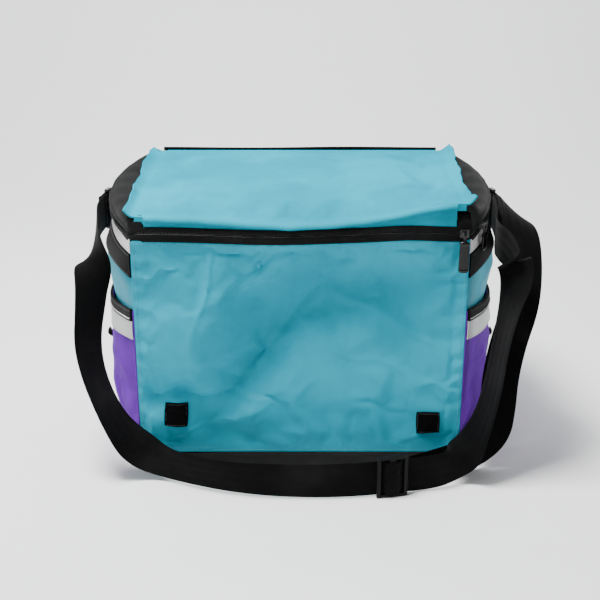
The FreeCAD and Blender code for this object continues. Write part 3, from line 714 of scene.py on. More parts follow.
def base_tray():
    levels = [(0.02, -6.0, 0.0), (0.3, -1.5, 0.0), (1.6, 0.2, 0.0), (5.0, 0.9, 0.5), (9.0, 0.6, 0.6),
            (13.0, 0.8, 0.5),
              (15.4, 0.4, 0.2), (16.4, 1.3, 0.1), (17.8, 1.5, 0.1), (18.8, 0.6, 0.0), (18.9, -1.0, 0.0)]
    rings = [base_outline(-6.0, 0.02) * np.array([k, k, 1]) for k in (0.02, 0.6, 0.9)]
    rings += [base_outline(g, z, w) for z, g, w in levels]
    count = len(rings[0])
    verts = np.concatenate(rings)
    around = np.concatenate([[0], np.cumsum(np.linalg.norm(np.diff(rings[-1], axis=0), axis=1))]) * MM
    rise = [0, 0.08, 0.12] + [0.13 + z * MM for z, _, _ in levels]
    uvs = [(u, v) for v in rise for u in around]
    faces = []
    for n in range(len(rings) - 1):
        for k in range(count):
            a, b = n * count + k, n * count + (k + 1) % count
            faces.append((a, b, b + count, a + count))
    faces.append(tuple(range(count))[::-1])
    obj = mesh_object("base_tray", verts, faces, uvs)
    thick = obj.modifiers.new("thickness", "SOLIDIFY")
    thick.thickness = 1.0 * MM
    thick.offset = -1.0
    return obj


keep(base_tray(), "base", "base_fabric", "root", "base_panel")


# ---------------------------------------------------------------- trims on the sides
def over_front(y):
    return SLOPE * (np.asarray(y, float) + HALF_D)


def side_strip(name, side, low, high, out, thick, steps=5, table=None, fray=0.0, slack_table=None):
    """A strip sewn round a side panel, between two heights over the front; table gives a sagging edge instead."""
    y = np.linspace(-HALF_D + 0.4, HALF_D - 0.4, 91)
    rows = []
    for t in np.linspace(0, 1, steps):
        if table is None:
            z = low + (high - low) * t + over_front(y)
        else:
            z = pocket_top(y) - low + (low - high) * t
        z = z + fray * np.sin(y / 4.1 + 2 * np.sin(y / 17)) * (1 if t in (0, 1) else 0)
        slack = table_at(SLACK, z) if slack_table else 0.0
        puff = out + 0.35 * math.sin(math.pi * t)
        rows.append(side_point(y, z, puff, slack, 1 if side == "right" else -1) + pocket_push(y, z,
                side) * (1.0 if slack_table else 0.0))
    return sheet_mesh(name, np.stack(rows, axis=1), thick, centre_of_bag)


def pocket_top(y):
    """The pocket's sagging top edge."""
    return 166.0 + 15.0 * (np.asarray(y, float) / HALF_D) ** 2


def pocket_push(y, z, side):
    """How the pocket's cloth puckers in and out, as an offset to its side surface."""
    y, z = np.broadcast_arrays(np.asarray(y, float), np.asarray(z, float))
    edge = ramp(HALF_D - np.abs(y), 0, 20) * ramp(z, BASE_H, BASE_H + 12) * (1 - 0.7 * ramp(z, 135, 150))
    push = pocket_field(y * (1 if side == "left" else -1), z) * edge
    pleat = 1.5 * ramp(95 - z, 0, 30) * ramp(z, BASE_H,
            BASE_H + 8) * np.sin(z / 4.6 + y / 37.0) * ramp(HALF_D - np.abs(y), 0,
            6) * np.exp(-(HALF_D - np.abs(y)) / 55)
    bulge = np.maximum(push + pleat, -0.3 - 6.0 * ramp(z, 75, 105)) + 2.2 * (1 - ramp(z, 65,
            100)) * ramp(HALF_D - np.abs(y), 4, 20)
    return np.stack([bulge * (1 if side == "right" else -1), 0 * y, 0 * z], axis=-1)


for side in ("left", "right"):
    mirror = 1 if side == "right" else -1
    strip = side_strip(side + "_light_tape", side, 241.5, 256.5, 0.9, 0.7, 5)
    keep(strip, "light_reflective", "light_reflective", "root", side + "_reflective_tape")
    strip = side_strip(side + "_side_webbing", side, 215.5, 240.5, 1.7, 1.5, 9)
    keep(strip, "webbing", "black_webbing", "root", side + "_webbing_band")
    # pocket: one cloth that puckers above its seam with the base
    y, t = grid(np.linspace(-HALF_D + 0.4, HALF_D - 0.4, 91), np.linspace(0, 1, 61))
    z = BASE_H + (pocket_top(y) - 1.0 - BASE_H) * t
    rows = side_point(y, z, 1.3, table_at(SLACK, z), mirror) + pocket_push(y, z, side)
    loose = settled_rows(side + "_pocket_grid", rows, 2, 0.0, spare=0.010, bend=0.2, cap=2.2)
    rows = rows + (loose - rows) * (1 - ramp(rows[..., 2], 105, 130))[..., None]
    keep(sheet_mesh(side + "_pocket_cloth", rows, 1.1, centre_of_bag), "purple", "purple_fabric", "root",
            side + "_pocket")
    strip = side_strip(side + "_pocket_reflector", side, 12.0, 32.5, 3.0, 0.8, 7, table=True,
            slack_table=True)
    keep(strip, "grey_reflective", "grey_reflective", "root", side + "_pocket_tape")
    strip = side_strip(side + "_pocket_edge", side, -0.8, 12.5, 3.6, 2.6, 7, table=True, slack_table=True)
    keep(strip, "webbing", "black_webbing", "root", side + "_pocket_binding")


# ---------------------------------------------------------------- stitching
def stitch_row(path, out, pitch=3.2, length=2.1, radius=0.42):
    """Small raised thread loops along a path, lying on the surface whose outward direction is given."""
    s = np.concatenate([[0], np.cumsum(np.linalg.norm(np.diff(path, axis=0), axis=1))])
    verts, faces = [], []
    sides = 5
    for n in range(int(s[-1] / pitch)):
        middle = (n + 0.5) * pitch
        ends = []
        for k, lift in ((-0.5, -0.15), (-0.25, 0.9), (0.25, 0.9), (0.5, -0.15)):
            spot = np.array([np.interp(middle + k * length, s, path[:, c]) for c in range(3)])
            lean = np.array([np.interp(middle, s, out[:, c]) for c in range(3)])
            ends.append((spot + lean * lift * radius, lean))
        way = ends[-1][0] - ends[0][0]
        way /= max(np.linalg.norm(way), 1e-9)
        base = len(verts)
        for spot, lean in ends:
            side = np.cross(way, lean)
            for k in range(sides):
                a = 2 * math.pi * k / sides
                verts.append(spot + radius * (math.cos(a) * side + math.sin(a) * lean))
        for r in range(len(ends) - 1):
            for k in range(sides):
                a, b = base + r * sides + k, base + r * sides + (k + 1) % sides
                faces.append((a, b, b + sides, a + sides))
        faces.append(tuple(base + k for k in range(sides))[::-1])
        faces.append(tuple(base + 3 * sides + k for k in range(sides)))
    return verts, faces


def stitches(name, rows_of, material, slot_name, body, **more):
    verts, faces = [], []
    for path, out in rows_of:
        v, f = stitch_row(path, out, **more)
        faces += [tuple(i + len(verts) for i in face) for face in f]
        verts += v
    obj = mesh_object(name, verts, faces, [(0.0, 0.0)] * len(verts), 80)
    return keep(obj, material, slot_name, body)


def side_line(side, z_of, out, slack):
    """A stitch path over a side, at heights given by z_of(y)."""
    mirror = 1 if side == "right" else -1
    y = np.linspace(-HALF_D + 3, HALF_D - 3, 120)
    z = z_of(y)
    path = side_point(y, z, out, table_at(SLACK, z) if slack else 0.0, mirror)
    if slack:
        path = path + pocket_push(y, z, side)
    way = np.gradient(path, axis=0)
    way /= np.linalg.norm(way, axis=1, keepdims=True)
    away = np.cross(way, (0, 0, 1.0)) * mirror
    return path, away / np.linalg.norm(away, axis=1, keepdims=True)


for side in ("left", "right"):
    stitches(side + "_pocket_stitches", [side_line(side, lambda y: pocket_top(y) - 9.6, 3.75, True)],
            "white_thread", "light_reflective", "root", pitch=3.6, length=1.7, radius=0.62)
    rows = [side_line(side, lambda y, h=h: h + over_front(y), 1.85, False) for h in (217.6, 238.4)]
    rows += [side_line(side, lambda y: pocket_top(y) + 0.6 - 2.0, 3.75, True)]
    stitches(side + "_webbing_stitches", rows, "black_thread", "black_webbing", "root", pitch=3.4,
            length=2.4, radius=0.3)
    rows = [side_line(side, lambda y, h=h: h + over_front(y), 1.1, False) for h in (243.2,)]
    rows += [side_line(side, lambda y: pocket_top(y) - 30.8, 3.1, True)]
    stitches(side + "_tape_stitches", rows, "grey_thread", "grey_reflective", "root", pitch=3.4, length=2.4,
            radius=0.26)


def front_line_path(points, lift=0.1):
    path = np.array([(x, front_surface(x, z) - lift, z) for x, z in points])
    return path, np.tile([0, -1.0, 0], (len(path), 1))


seams = [front_line_path([(s * 167.0, z) for z in np.linspace(24, 250, 100)]) for s in (-1, 1)]
seams += [front_line_path([(x, 21.5) for x in np.linspace(-165, 165, 150)])]
seams += [front_line_path([(x, float(ring_z(-HALF_D, x)) - 5.0) for x in np.linspace(-165, 165, 150)])]
stitches("front_seam_stitches", seams, "teal_thread", "teal_fabric", "root", pitch=3.2, length=2.2,
        radius=0.28)

# hook-and-loop squares, which follow the front cloth
square_stitches = []
for side, cx, cz, turn in (("left", -131.0, 64.0, -0.035), ("right", 136.0, 54.0, 0.02)):
    half = 12.5
    rows = []
    for a in np.linspace(-half, half, 15):
        row = []
        for b in np.linspace(-half, half, 15):
            round_off = 1 - 0.05 * (a / half) ** 2 * (b / half) ** 2
            x = cx + (a * math.cos(turn) - b * math.sin(turn)) * round_off
            z = cz + (a * math.sin(turn) + b * math.cos(turn)) * round_off
            row.append((x, front_surface(x, z) - 1.7, z))
        rows.append(row)
    patch = sheet_mesh(side + "_hook_square", rows, 1.7, centre_of_bag)
    keep(patch, "hook_loop", "hook_loop", "root", side + "_fastener_square")
    frame_line = [(cx + a * 10.8, cz + b * 10.8) for a, b in ((-1, -1), (1, -1), (1, 1), (-1, 1), (-1, -1))]
    dense = np.concatenate([np.linspace(p, q, 12, endpoint=False) for p,
            q in zip(frame_line, frame_line[1:])])
    square_stitches.append((np.array([(x, front_surface(x, z) - 1.75, z) for x, z in dense]),
            np.tile([0, -1.0, 0], (len(dense), 1))))
stitches("square_stitches", square_stitches, "black_thread", "hook_loop", "root", pitch=2.9, length=2.0,
        radius=0.25)


# ---------------------------------------------------------------- lid
def lid_top(x, y):
    """Height of the lid's padded top: seamed edges, a gentle sag and soft wrinkles."""
    x, y = np.asarray(x, float), np.asarray(y, float)
    edge = ramp(LID_HALF - np.abs(x), 0, 26) * ramp(y + HALF_D, 0, 20) * ramp(HALF_D - 3 - y, 0, 22)
    wrinkle = 1.1 * np.sin(x / 19 + 0.9 * np.sin(y / 23) + 1.5) * np.sin(y / 31 + x / 83)
    wrinkle += 0.7 * np.sin(x / 9.5 - y / 27 + 2 * np.sin(x / 47)) * np.exp(-(((y + 95) / 40) ** 2))
    wrinkle += 0.9 * np.exp(-(((y - 20 - x * 0.25) / 9) ** 2)) * np.exp(-(((x - 70) / 60) ** 2))
    fill = 5.0 * (1 - (x / LID_HALF) ** 2) * (1 - (y / HALF_D) ** 2) - 3.2
    lip = np.interp(x, [-176, -120, -60, -12, 40, 90, 130, 165], [-4, -6, -10.5, -13.5, -11, -5, 1.5, 6])
    near = 1 - ramp(y + HALF_D, 0, 48)
    return lid_z(y) - 3.2 * ramp(y, 95, 133) + (fill + wrinkle) * edge + lip * near**1.5 + 3.0 * ramp(x, 60,
            160) * (1 - ramp(y + HALF_D, 0, 110))


xs = np.linspace(-LID_HALF, LID_HALF, 121)
ys = np.linspace(-HALF_D, HALF_D - 3.5, 91)
X, Y = grid(xs, ys)
X2 = X / LID_HALF * (165.0 - 2.0 * ramp(Y, -138, 150) + 4.0 * ramp(Y, 0,
        130) * (X > 0))   # the padded field narrows toward the back
top_rows = np.stack([X2, Y, lid_top(X, Y)], axis=-1)
top_rows = settled_rows("lid_grid", top_rows, 3, 0.35, spare=0.010, bend=0.3, cap=3.0)
lid_cloth = sheet_mesh("lid_cloth", top_rows, 7.0, (0, 0, 100))
keep(lid_cloth, "teal_top_painted_shade", "teal_fabric", "lid", "lid_panel", "lid_foam")


def lid_edge_at(side, y):
    """The settled lid's end seam."""
    row = top_rows[-1 if side > 0 else 0]
    return np.stack([np.interp(y, row[:, 1], row[:, k]) for k in range(3)], axis=-1)


# seam allowance that stands up along each end
for name, side in (("left", -1), ("right", 1)):
    y = np.linspace(-137, 131, 110)
    foot = lid_edge_at(side, y)
    reach = 9.0 + 8.0 * ramp(y, -120, 120) + 0.8 * np.sin(y / 13.0 + side) + 0.5 * np.sin(y / 5.3)
    height = 6.0 + (0.5 + side) * ramp(y, 60, 128) + 2.5 * (1 - ramp(y, -137,
            -110)) + 1.2 * np.sin(y / 19.0 + side)
    rows = []
    for t in np.linspace(-0.15, 1, 10):
        shift = np.stack([side * reach * t, 0 * y - 3.0 * t * (1 - ramp(y, -137, -115)),
                height * max(t, 0) ** 1.6 - 0.8 * math.sin(math.pi * min(1, max(0, t)))], axis=-1)
        rows.append(foot + shift)
    flange = sheet_mesh(name + "_lid_flange", np.stack(rows, axis=1), 1.5, (0, 0, 200))
    keep(flange, "teal_top_painted_shade", "teal_fabric", "lid")

# front strip under the lip, and the lip's own fold
x = np.linspace(-156, 156, 150)
lip = top_rows[:, 0, :]
lip_at = np.stack([x] + [np.interp(x, lip[:, 0], lip[:, k]) for k in (1, 2)], axis=-1)
low_z = ring_z(-HALF_D, x) + 11.6
rows = []
for t in np.linspace(0, 1, 7):
    z = low_z + (lip_at[:, 2] - 1.5 - low_z) * t
    y = -HALF_D + 0.9 * t - 0.1 + 0.4 * np.sin(x / 7 + 2 * np.sin(x / 33)) * math.sin(math.pi * t)
    rows.append(np.stack([x, y, z], axis=-1))
strip = sheet_mesh("front_strip_cloth", np.stack(rows, axis=1), 1.1, centre_of_bag)
keep(strip, "teal_top_painted_shade", "teal_fabric", "lid", "lid_front_strip")
rows = []
for t in np.linspace(0, 1, 9):
    angle = math.pi * (0.5 + 1.05 * t)
    over = np.stack([0 * x, -2.6 * math.sin(math.pi * t) - 1.6 + 0.5 * np.sin(x / 6) * t,
            0 * x + 2.6 * math.sin(angle) - 2.0], axis=-1)
    rows.append(lip_at + over + np.array([0, 2.8 * (1 - t), 0]))
keep(sheet_mesh("lid_lip", np.stack(rows, axis=1), 1.2, (0, 0, 250)), "teal_top_painted_shade", "teal_fabric", "lid")

# gussets: dark tape that rolls over from the zipper to the lid's ends
for name, side in (("left", -1), ("right", 1)):
    use = (ring[:, 0] * side > 157)
    path = ring[use]
    away = ring_out[use]
    sidep = sideness[use]
    if path[0, 1] > path[-1, 1]:
        path, away, sidep = path[::-1], away[::-1], sidep[::-1]
    seam = lid_edge_at(side, np.clip(path[:, 1], -HALF_D + 2, HALF_D - 4)) - np.array([0, 0, 3.0])
    near_front = 1 - ramp(path[:, 1], -HALF_D, -HALF_D + 8)
    front_seam = np.stack([path[:, 0], path[:, 1] + 5, lid_z(path[:, 1]) - 3.5], axis=-1)
    seam = seam * (1 - near_front[:, None]) + front_seam * near_front[:, None]
    rows = []
    for t in np.linspace(0, 1, 13):
        foot = path + away * (0.9 + 0.8 * sidep)[:, None] + np.array([0, 0, 11.4])
        spot = foot * (1 - t) + seam * t
        swell = math.sin(math.pi * min(1, t * 1.15)) if t < 0.87 else 0.0
        lift = (2.0 + 3.2 * sidep) * swell * (1 - 0.5 * ramp(path[:, 1], 40, 128))
        spot = spot + away * (lift * (1 - t))[:, None] * 0.9 + np.array([0, 0, 1.0]) * lift[:, None]
        spot = spot + np.array([0, 0, 1.0]) * (0.5 * np.sin(path[:,
                1] / 6 + 3 * t) * sidep * math.sin(math.pi * t))[:, None]
        rows.append(spot)
    gusset = sheet_mesh(name + "_gusset_tape", np.stack(rows, axis=1), 1.2, (0, 0, 200))
    keep(gusset, "tape", "zipper_tape", "lid", "lid_" + name + "_gusset")

# lining under the lid
X, Y = grid(np.linspace(-168, 168, 61), np.linspace(-130, 128, 51))
wide = X * (1 + 0.10 * (1 - (Y / 135) ** 2))
column = np.clip(np.rint((wide / 165.0 + 1) * 60), 5, 115).astype(int)
row = np.clip(np.rint((Y + HALF_D) / (2 * HALF_D - 3.5) * 90), 4, 86).astype(int)
lowest = np.min([top_rows[column + i, row + j, 2] for i in (-5, -2, 0, 2, 5) for j in (-4, 0, 4)], axis=0)
level = np.minimum(lid_z(Y) - 9.0, lowest - 9.6) + 0.5 * np.sin(X / 21) * np.sin(Y / 18)
under = np.stack([wide, Y, level], axis=-1)
lining = sheet_mesh("lid_lining", under, 0.8, (0, 0, 600))
keep(lining, "liner", "liner", "lid", "lid_liner")

# back binding, a folded tape that the lid turns on
piping = tube_mesh("back_piping", [(x, 138.9 + 0.3 * math.sin(x / 23),
        291.6 + 0.5 * math.sin(x / 41)) for x in np.linspace(-168, 168, 90)], 2.4, 12)
keep(piping, "webbing", "black_webbing", "lid")
web = [[(x, 139.9 + 0.2 * math.sin(x / 9), z) for z in np.linspace(278, 291.5, 5)] for x in np.linspace(-166,
        166, 90)]
keep(sheet_mesh("back_edge", web, 1.2, centre_of_bag), "webbing", "black_webbing", "root", "back_binding")


# ---------------------------------------------------------------- ribbon loops, pulls, strap ends
def path_ribbon(name, points, across, width, thick, steps=6):
    """Webbing along a given path in millimetres, smoothed."""
    points = np.array(points, dtype=float)
    s = np.concatenate([[0], np.cumsum(np.linalg.norm(np.diff(points, axis=0), axis=1))])
    t = np.linspace(0, s[-1], steps * len(points))
    line = np.stack([np.interp(t, s, points[:, k]) for k in range(3)], axis=-1)
    line = smooth_corners(line, 6)
    return ribbon_mesh(name, line, np.tile(np.array(across, float), (len(line), 1)), width, thick)[0]


for side, mirror in (("left", -1), ("right", 1)):
    # folded ribbon on the middle of each pocket
    low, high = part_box(side + "_pocket_tab")
    face_x = (low.x if side == "right" else high.x) / MM
    z = low.z / MM
    points = [(face_x - mirror * 1.5, 0, z - 1), (face_x + mirror * 4, 0.4, z + 0.2),
            (face_x + mirror * 7.3, 0.6, z + 3.5),
              (face_x + mirror * 6.6, 0.4, z + 8.4), (face_x + mirror * 4.6, 0.2,
                      z + 6.0), (face_x + mirror * 2.5, 0, z + 2.2), (face_x - mirror * 1.0, 0, z + 1.2)]
    tab = path_ribbon(side + "_ribbon_tab", points, (0, 1, 0), 9.6, 0.9)
    keep(tab, "webbing", "black_webbing", "root", side + "_pocket_tab")

    # webbing loop round the D-ring's bar, sewn to the side band
    bar = np.array([mirror * 205.5, 80.0, 243.0])
    way = np.array([mirror * math.cos(math.radians(163)), math.sin(math.radians(163)), 0.0])
    outward = np.array([mirror * math.cos(math.radians(73)), math.sin(math.radians(73)), 0.0])
    ring_points = []
    for along, off in ((15, -1.0), (9, -1.3), (4, -2.2)):
        ring_points.append(bar + way * along + outward * off)
    for angle in np.linspace(-100, 100, 9):
        a = math.radians(angle)
        ring_points.append(bar - way * 3.0 * math.cos(a) + outward * 3.0 * math.sin(a))
    for along, off in ((4, 2.4), (9, 1.3), (15, 0.9)):
        ring_points.append(bar + way * along + outward * off)
    loop = path_ribbon(side + "_ring_loop", ring_points, (0, 0, 1), 22.8, 1.3, 5)
    keep(loop, "webbing", "black_webbing", "root", side + "_ring_tab")

    # the strap's end, folded round the swivel's bar and sewn to itself
    hook_way = np.array([mirror * 0.20791, -0.97815, 0.0])
    off_way = np.array([mirror * 0.97815, 0.20791, 0.0])
    apex = np.array([mirror * 214.868, 69.596, 243.0])
    fold = [(57, 1.6), (50, 1.8), (44, 2.3), (40, 3.2), (37.2, 3.5), (34.4, 3.0), (32.9, 1.6), (32.5, 0),
            (32.9, -1.6), (34.4, -3.0), (37.2, -3.5), (40, -3.2), (44, -2.3), (50, -1.8), (57, -1.6)]
    points = [apex + hook_way * a + off_way * b for a, b in fold]
    end = path_ribbon(side + "_strap_fold", points, (0, 0, 1), WEBBING - 0.4, 1.2, 5)
    keep(end, "webbing", "black_webbing", side + "_clip")
    lines = []
    for off in (2.45, -2.45):
        face = np.array([apex + hook_way * 47 + off_way * off + np.array([0, 0, h]) for h in np.linspace(-16,
                16, 24)])
        lines.append((face, np.tile(off_way * (1 if off > 0 else -1), (len(face), 1))))
        face = np.array([apex + hook_way * 54 + off_way * off * 0.96 + np.array([0, 0,
                h]) for h in np.linspace(-16, 16, 24)])
        lines.append((face, np.tile(off_way * (1 if off > 0 else -1), (len(face), 1))))
    stitches(side + "_fold_stitches", lines, "black_thread", "black_webbing", side + "_clip", pitch=3.0,
            length=2.0, radius=0.3)


glide_low, glide_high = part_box("tri_glide")
glide = np.array([(glide_low[k] + glide_high[k]) / 2 / MM for k in range(3)])
glide_way = np.array([42.0, 8.5, 0.0]) / math.hypot(42.0, 8.5)
glide_off = np.array([glide_way[1], -glide_way[0], 0.0])
threaded = [(-15, -3.4), (-11.5, -3.2), (-9.5, -1.6), (-6.5, 1.6), (-4.0, 3.1), (0, 3.3), (4.0, 3.1),
        (6.5, 1.6), (9.5, -1.6), (11.5, -3.2), (15, -3.4)]
over_bar = path_ribbon("strap_over_bar", [glide + glide_way * a + glide_off * b + np.array([0, 0,
        -2.6]) for a, b in threaded], (0, 0, 1), WEBBING - 0.4, 1.2, 6)
keep(over_bar, "webbing", "black_webbing", "root")


def moulded_pull(name, pin, pin_way, length, body, node):
    """A moulded puller on a slider's pin: a wire eye, a flared collar and a ribbed, rounded grip."""
    pin, pin_way = np.array(pin, float), np.array(pin_way, float)
    pin_way /= np.linalg.norm(pin_way)
    down = np.array([0, 0, -1.0])
    down = down - pin_way * (down @ pin_way)
    down /= np.linalg.norm(down)
    out = np.cross(pin_way, down)
    out *= -1 if out @ (pin - np.array([0, 0, pin[2]])) < 0 else 1
    verts, faces, uvs = [], [], []
    sides = 20
    # distance from the pin, half width, half thickness
    shape = [(-1.9, 1.2, 0.5), (-1.2, 1.5, 1.5), (0.0, 1.6, 1.8), (1.5, 1.5, 1.5), (4.0, 1.4, 1.1),
            (6.5, 1.5, 1.1), (7.4, 3.2, 1.6), (8.2, 4.4, 2.0), (9.4, 4.6, 2.1), (10.2, 4.0, 1.8)]
    n = int((length - 13) / 1.1)
    for k in range(n):
        t = k / (n - 1)
        ridge = 0.16 * math.cos(k * math.pi)
        shape.append((10.8 + (length - 13.2) * t, 4.0 + 0.5 * t + ridge * 0.4, 1.55 + ridge))
    shape += [(length - 1.6, 4.5, 1.8), (length - 0.2, 4.1, 1.7), (length + 1.0, 3.0, 1.3),
            (length + 1.6, 1.4, 0.6)]
    for d, w, h in shape:
        for k in range(sides):
            a = 2 * math.pi * k / sides
            ca, sa = math.cos(a), math.sin(a)
            ca, sa = math.copysign(abs(ca) ** 0.6, ca), math.copysign(abs(sa) ** 0.6, sa)
            verts.append(pin + down * d + pin_way * w * 1.2 * ca + out * h * sa)
            uvs.append((d * MM, k / sides * 0.02))
    for r in range(len(shape) - 1):
        for k in range(sides):
            a, b = r * sides + k, r * sides + (k + 1) % sides
            faces.append((a, b, b + sides, a + sides))
    faces.append(tuple(range(sides))[::-1])
    faces.append(tuple((len(shape) - 1) * sides + k for k in range(sides)))
    keep(mesh_object(name, verts, faces, uvs, 40), "gloss_black", "black_plastic", body, node)


def joint_of(name):
    return next(j for j in frame["joints"] if j["name"] == name)


hinge = joint_of("front_pull_hinge")
moulded_pull("front_puller", [v / MM for v in hinge["pos_m"]], hinge["axis"], 38.0, "front_pull",
        "front_pull")
hinge = joint_of("side_pull_hinge")
moulded_pull("side_puller", [v / MM for v in hinge["pos_m"]], hinge["axis"], 24.0, "side_pull", "side_pull")


# ---------------------------------------------------------------- materials
def shader(name, colour, rough, **sockets):
    material = bpy.data.materials.new(name)
    material.use_nodes = True
    tree = material.node_tree
    base = tree.nodes["Principled BSDF"]
    base.inputs["Base Color"].default_value = (*colour, 1.0)
    base.inputs["Roughness"].default_value = rough
    for key, value in sockets.items():
        base.inputs[key.replace("_", " ")].default_value = value
    return material, tree, base


def node(tree, kind, **settings):
    made = tree.nodes.new(kind)
    for key, value in settings.items():
        if key in made.inputs:
            made.inputs[key].default_value = value
        else:
            setattr(made, key, value)
    return made


def maths(tree, operation, a, b=None, c=None):
    made = tree.nodes.new("ShaderNodeMath")
    made.operation = operation
    for socket, value in zip(made.inputs, (a, b, c)):
        if value is None:
            continue
        if isinstance(value, (int, float)):
            socket.default_value = value
        else:
            tree.links.new(value, socket)
    return made.outputs[0]


def noise_at(tree, coordinates, scale, detail=3.0, rough=0.55):
    made = node(tree, "ShaderNodeTexNoise")
    made.inputs["Scale"].default_value = scale
    made.inputs["Detail"].default_value = detail
    made.inputs["Roughness"].default_value = rough
    tree.links.new(coordinates, made.inputs["Vector"])
    return made.outputs["Fac"]


def scaled(tree, coordinates, amounts):
    made = tree.nodes.new("ShaderNodeMapping")
    made.inputs["Scale"].default_value = amounts
    tree.links.new(coordinates, made.inputs["Vector"])
    return made.outputs["Vector"]


def wave_at(tree, coordinates, pitch, axis):
    made = tree.nodes.new("ShaderNodeTexWave")
    made.bands_direction = axis
    made.inputs["Scale"].default_value = 2 * math.pi / (20 * pitch)
    made.inputs["Distortion"].default_value = 0.0
    tree.links.new(coordinates, made.inputs["Vector"])
    return made.outputs["Fac"]


def mixed(tree, factor, a, b, blend="MIX"):
    made = tree.nodes.new("ShaderNodeMix")
    made.data_type = "RGBA"
    made.blend_type = blend
    for socket, value in ((made.inputs[0], factor), (made.inputs[6], a), (made.inputs[7], b)):
        if isinstance(value, (int, float)):
            socket.default_value = value
        elif isinstance(value, tuple):
            socket.default_value = value
        else:
            tree.links.new(value, socket)
    return made.outputs[2]


def stepped(tree, value, low, high):
    made = tree.nodes.new("ShaderNodeMapRange")
    made.interpolation_type = "SMOOTHSTEP"
    made.inputs["From Min"].default_value = low
    made.inputs["From Max"].default_value = high
    tree.links.new(value, made.inputs["Value"])
    return made.outputs["Result"]


def bumped(tree, base, layers):
    """Height layers as (height, strength, distance), stacked on the shader's normal."""
    last = None
    for height, strength, distance in layers:
        made = tree.nodes.new("ShaderNodeBump")
        made.inputs["Strength"].default_value = strength
        made.inputs["Distance"].default_value = distance
        tree.links.new(height, made.inputs["Height"])
        if last is not None:
            tree.links.new(last, made.inputs["Normal"])
        last = made.outputs["Normal"]
    tree.links.new(last, base.inputs["Normal"])


def woven(name, colour, rough, pitch=0.0007, specular=0.12, dirt=0.25, dirt_colour=(0.05, 0.05, 0.04, 1),
        crease=0.35, sheen=0.03, spots=(), weave=0.35):
    """Coated plain-weave cloth with thread-to-thread colour change, fine creases, rubbed patches and dirt."""
    material, tree, base = shader(name, colour, rough)
    base.inputs["Sheen Weight"].default_value = sheen
    base.inputs["Sheen Roughness"].default_value = 0.5
    base.inputs["Specular IOR Level"].default_value = specular
    place = tree.nodes.new("ShaderNodeTexCoord")
    uv, where = place.outputs["UV"], place.outputs["Object"]
    warp, weft = wave_at(tree, uv, pitch, "X"), wave_at(tree, uv, pitch, "Y")
    weave_height = maths(tree, "MAXIMUM", maths(tree, "MULTIPLY", warp, weft),
            maths(tree, "MULTIPLY", maths(tree, "SUBTRACT", 1.0, warp), maths(tree, "SUBTRACT", 1.0, weft)))
    threads = noise_at(tree, scaled(tree, uv, (900, 40, 1)), 1.0, 2.0)
    threads2 = noise_at(tree, scaled(tree, uv, (40, 900, 1)), 1.0, 2.0)
    broad = noise_at(tree, where, 9.0, 4.0)
    fine = noise_at(tree, where, 55.0, 5.0, 0.65)
    dark = tuple(c * 0.80 for c in colour) + (1,)
    light = tuple(min(1, c * 1.10 + 0.004) for c in colour) + (1,)
    tone = mixed(tree, stepped(tree, broad, 0.3, 0.72), dark, light)
    tone = mixed(tree, maths(tree, "MULTIPLY", maths(tree, "ADD", threads, threads2), 0.10), tone,
            tuple(c * 0.6 for c in colour) + (1,))
    # raised weave cells are painted lighter: a painted highlight on the weave
    tone = mixed(tree, maths(tree, "MULTIPLY", weave_height, 0.10), tone, light)
    grime = maths(tree, "MULTIPLY", stepped(tree, fine, 0.52, 0.80), dirt)
    split = tree.nodes.new("ShaderNodeSeparateXYZ")
    tree.links.new(where, split.inputs[0])
    low_down = maths(tree, "SUBTRACT", 1.0, stepped(tree, split.outputs["Z"], 0.02, 0.09))
    grime = maths(tree, "ADD", grime, maths(tree, "MULTIPLY", maths(tree, "MULTIPLY", low_down, fine),
            dirt * 0.9))
    for spot, radius, strength in spots:
        gap = tree.nodes.new("ShaderNodeVectorMath")
        gap.operation = "DISTANCE"
        gap.inputs[1].default_value = spot
        tree.links.new(where, gap.inputs[0])
        edge = maths(tree, "ADD", gap.outputs["Value"],
                maths(tree, "MULTIPLY", maths(tree, "SUBTRACT", fine, 0.5), radius * 1.4))
        mark = maths(tree, "SUBTRACT", 1.0, stepped(tree, edge, radius * 0.35, radius))
        grime = maths(tree, "MAXIMUM", grime, maths(tree, "MULTIPLY", mark, strength))
    tone = mixed(tree, grime, tone, dirt_colour)
    tree.links.new(tone, base.inputs["Base Color"])
    shine = maths(tree, "ADD", rough - 0.09, maths(tree, "MULTIPLY", fine, 0.18))
    tree.links.new(shine, base.inputs["Roughness"])
    creases = noise_at(tree, where, 26.0, 6.0, 0.6)
    soft = noise_at(tree, where, 11.0, 2.0, 0.5)
    bumped(tree, base, [(soft, crease, 0.006), (creases, crease, 0.0018), (weave_height, weave, 0.00012)])
    return material


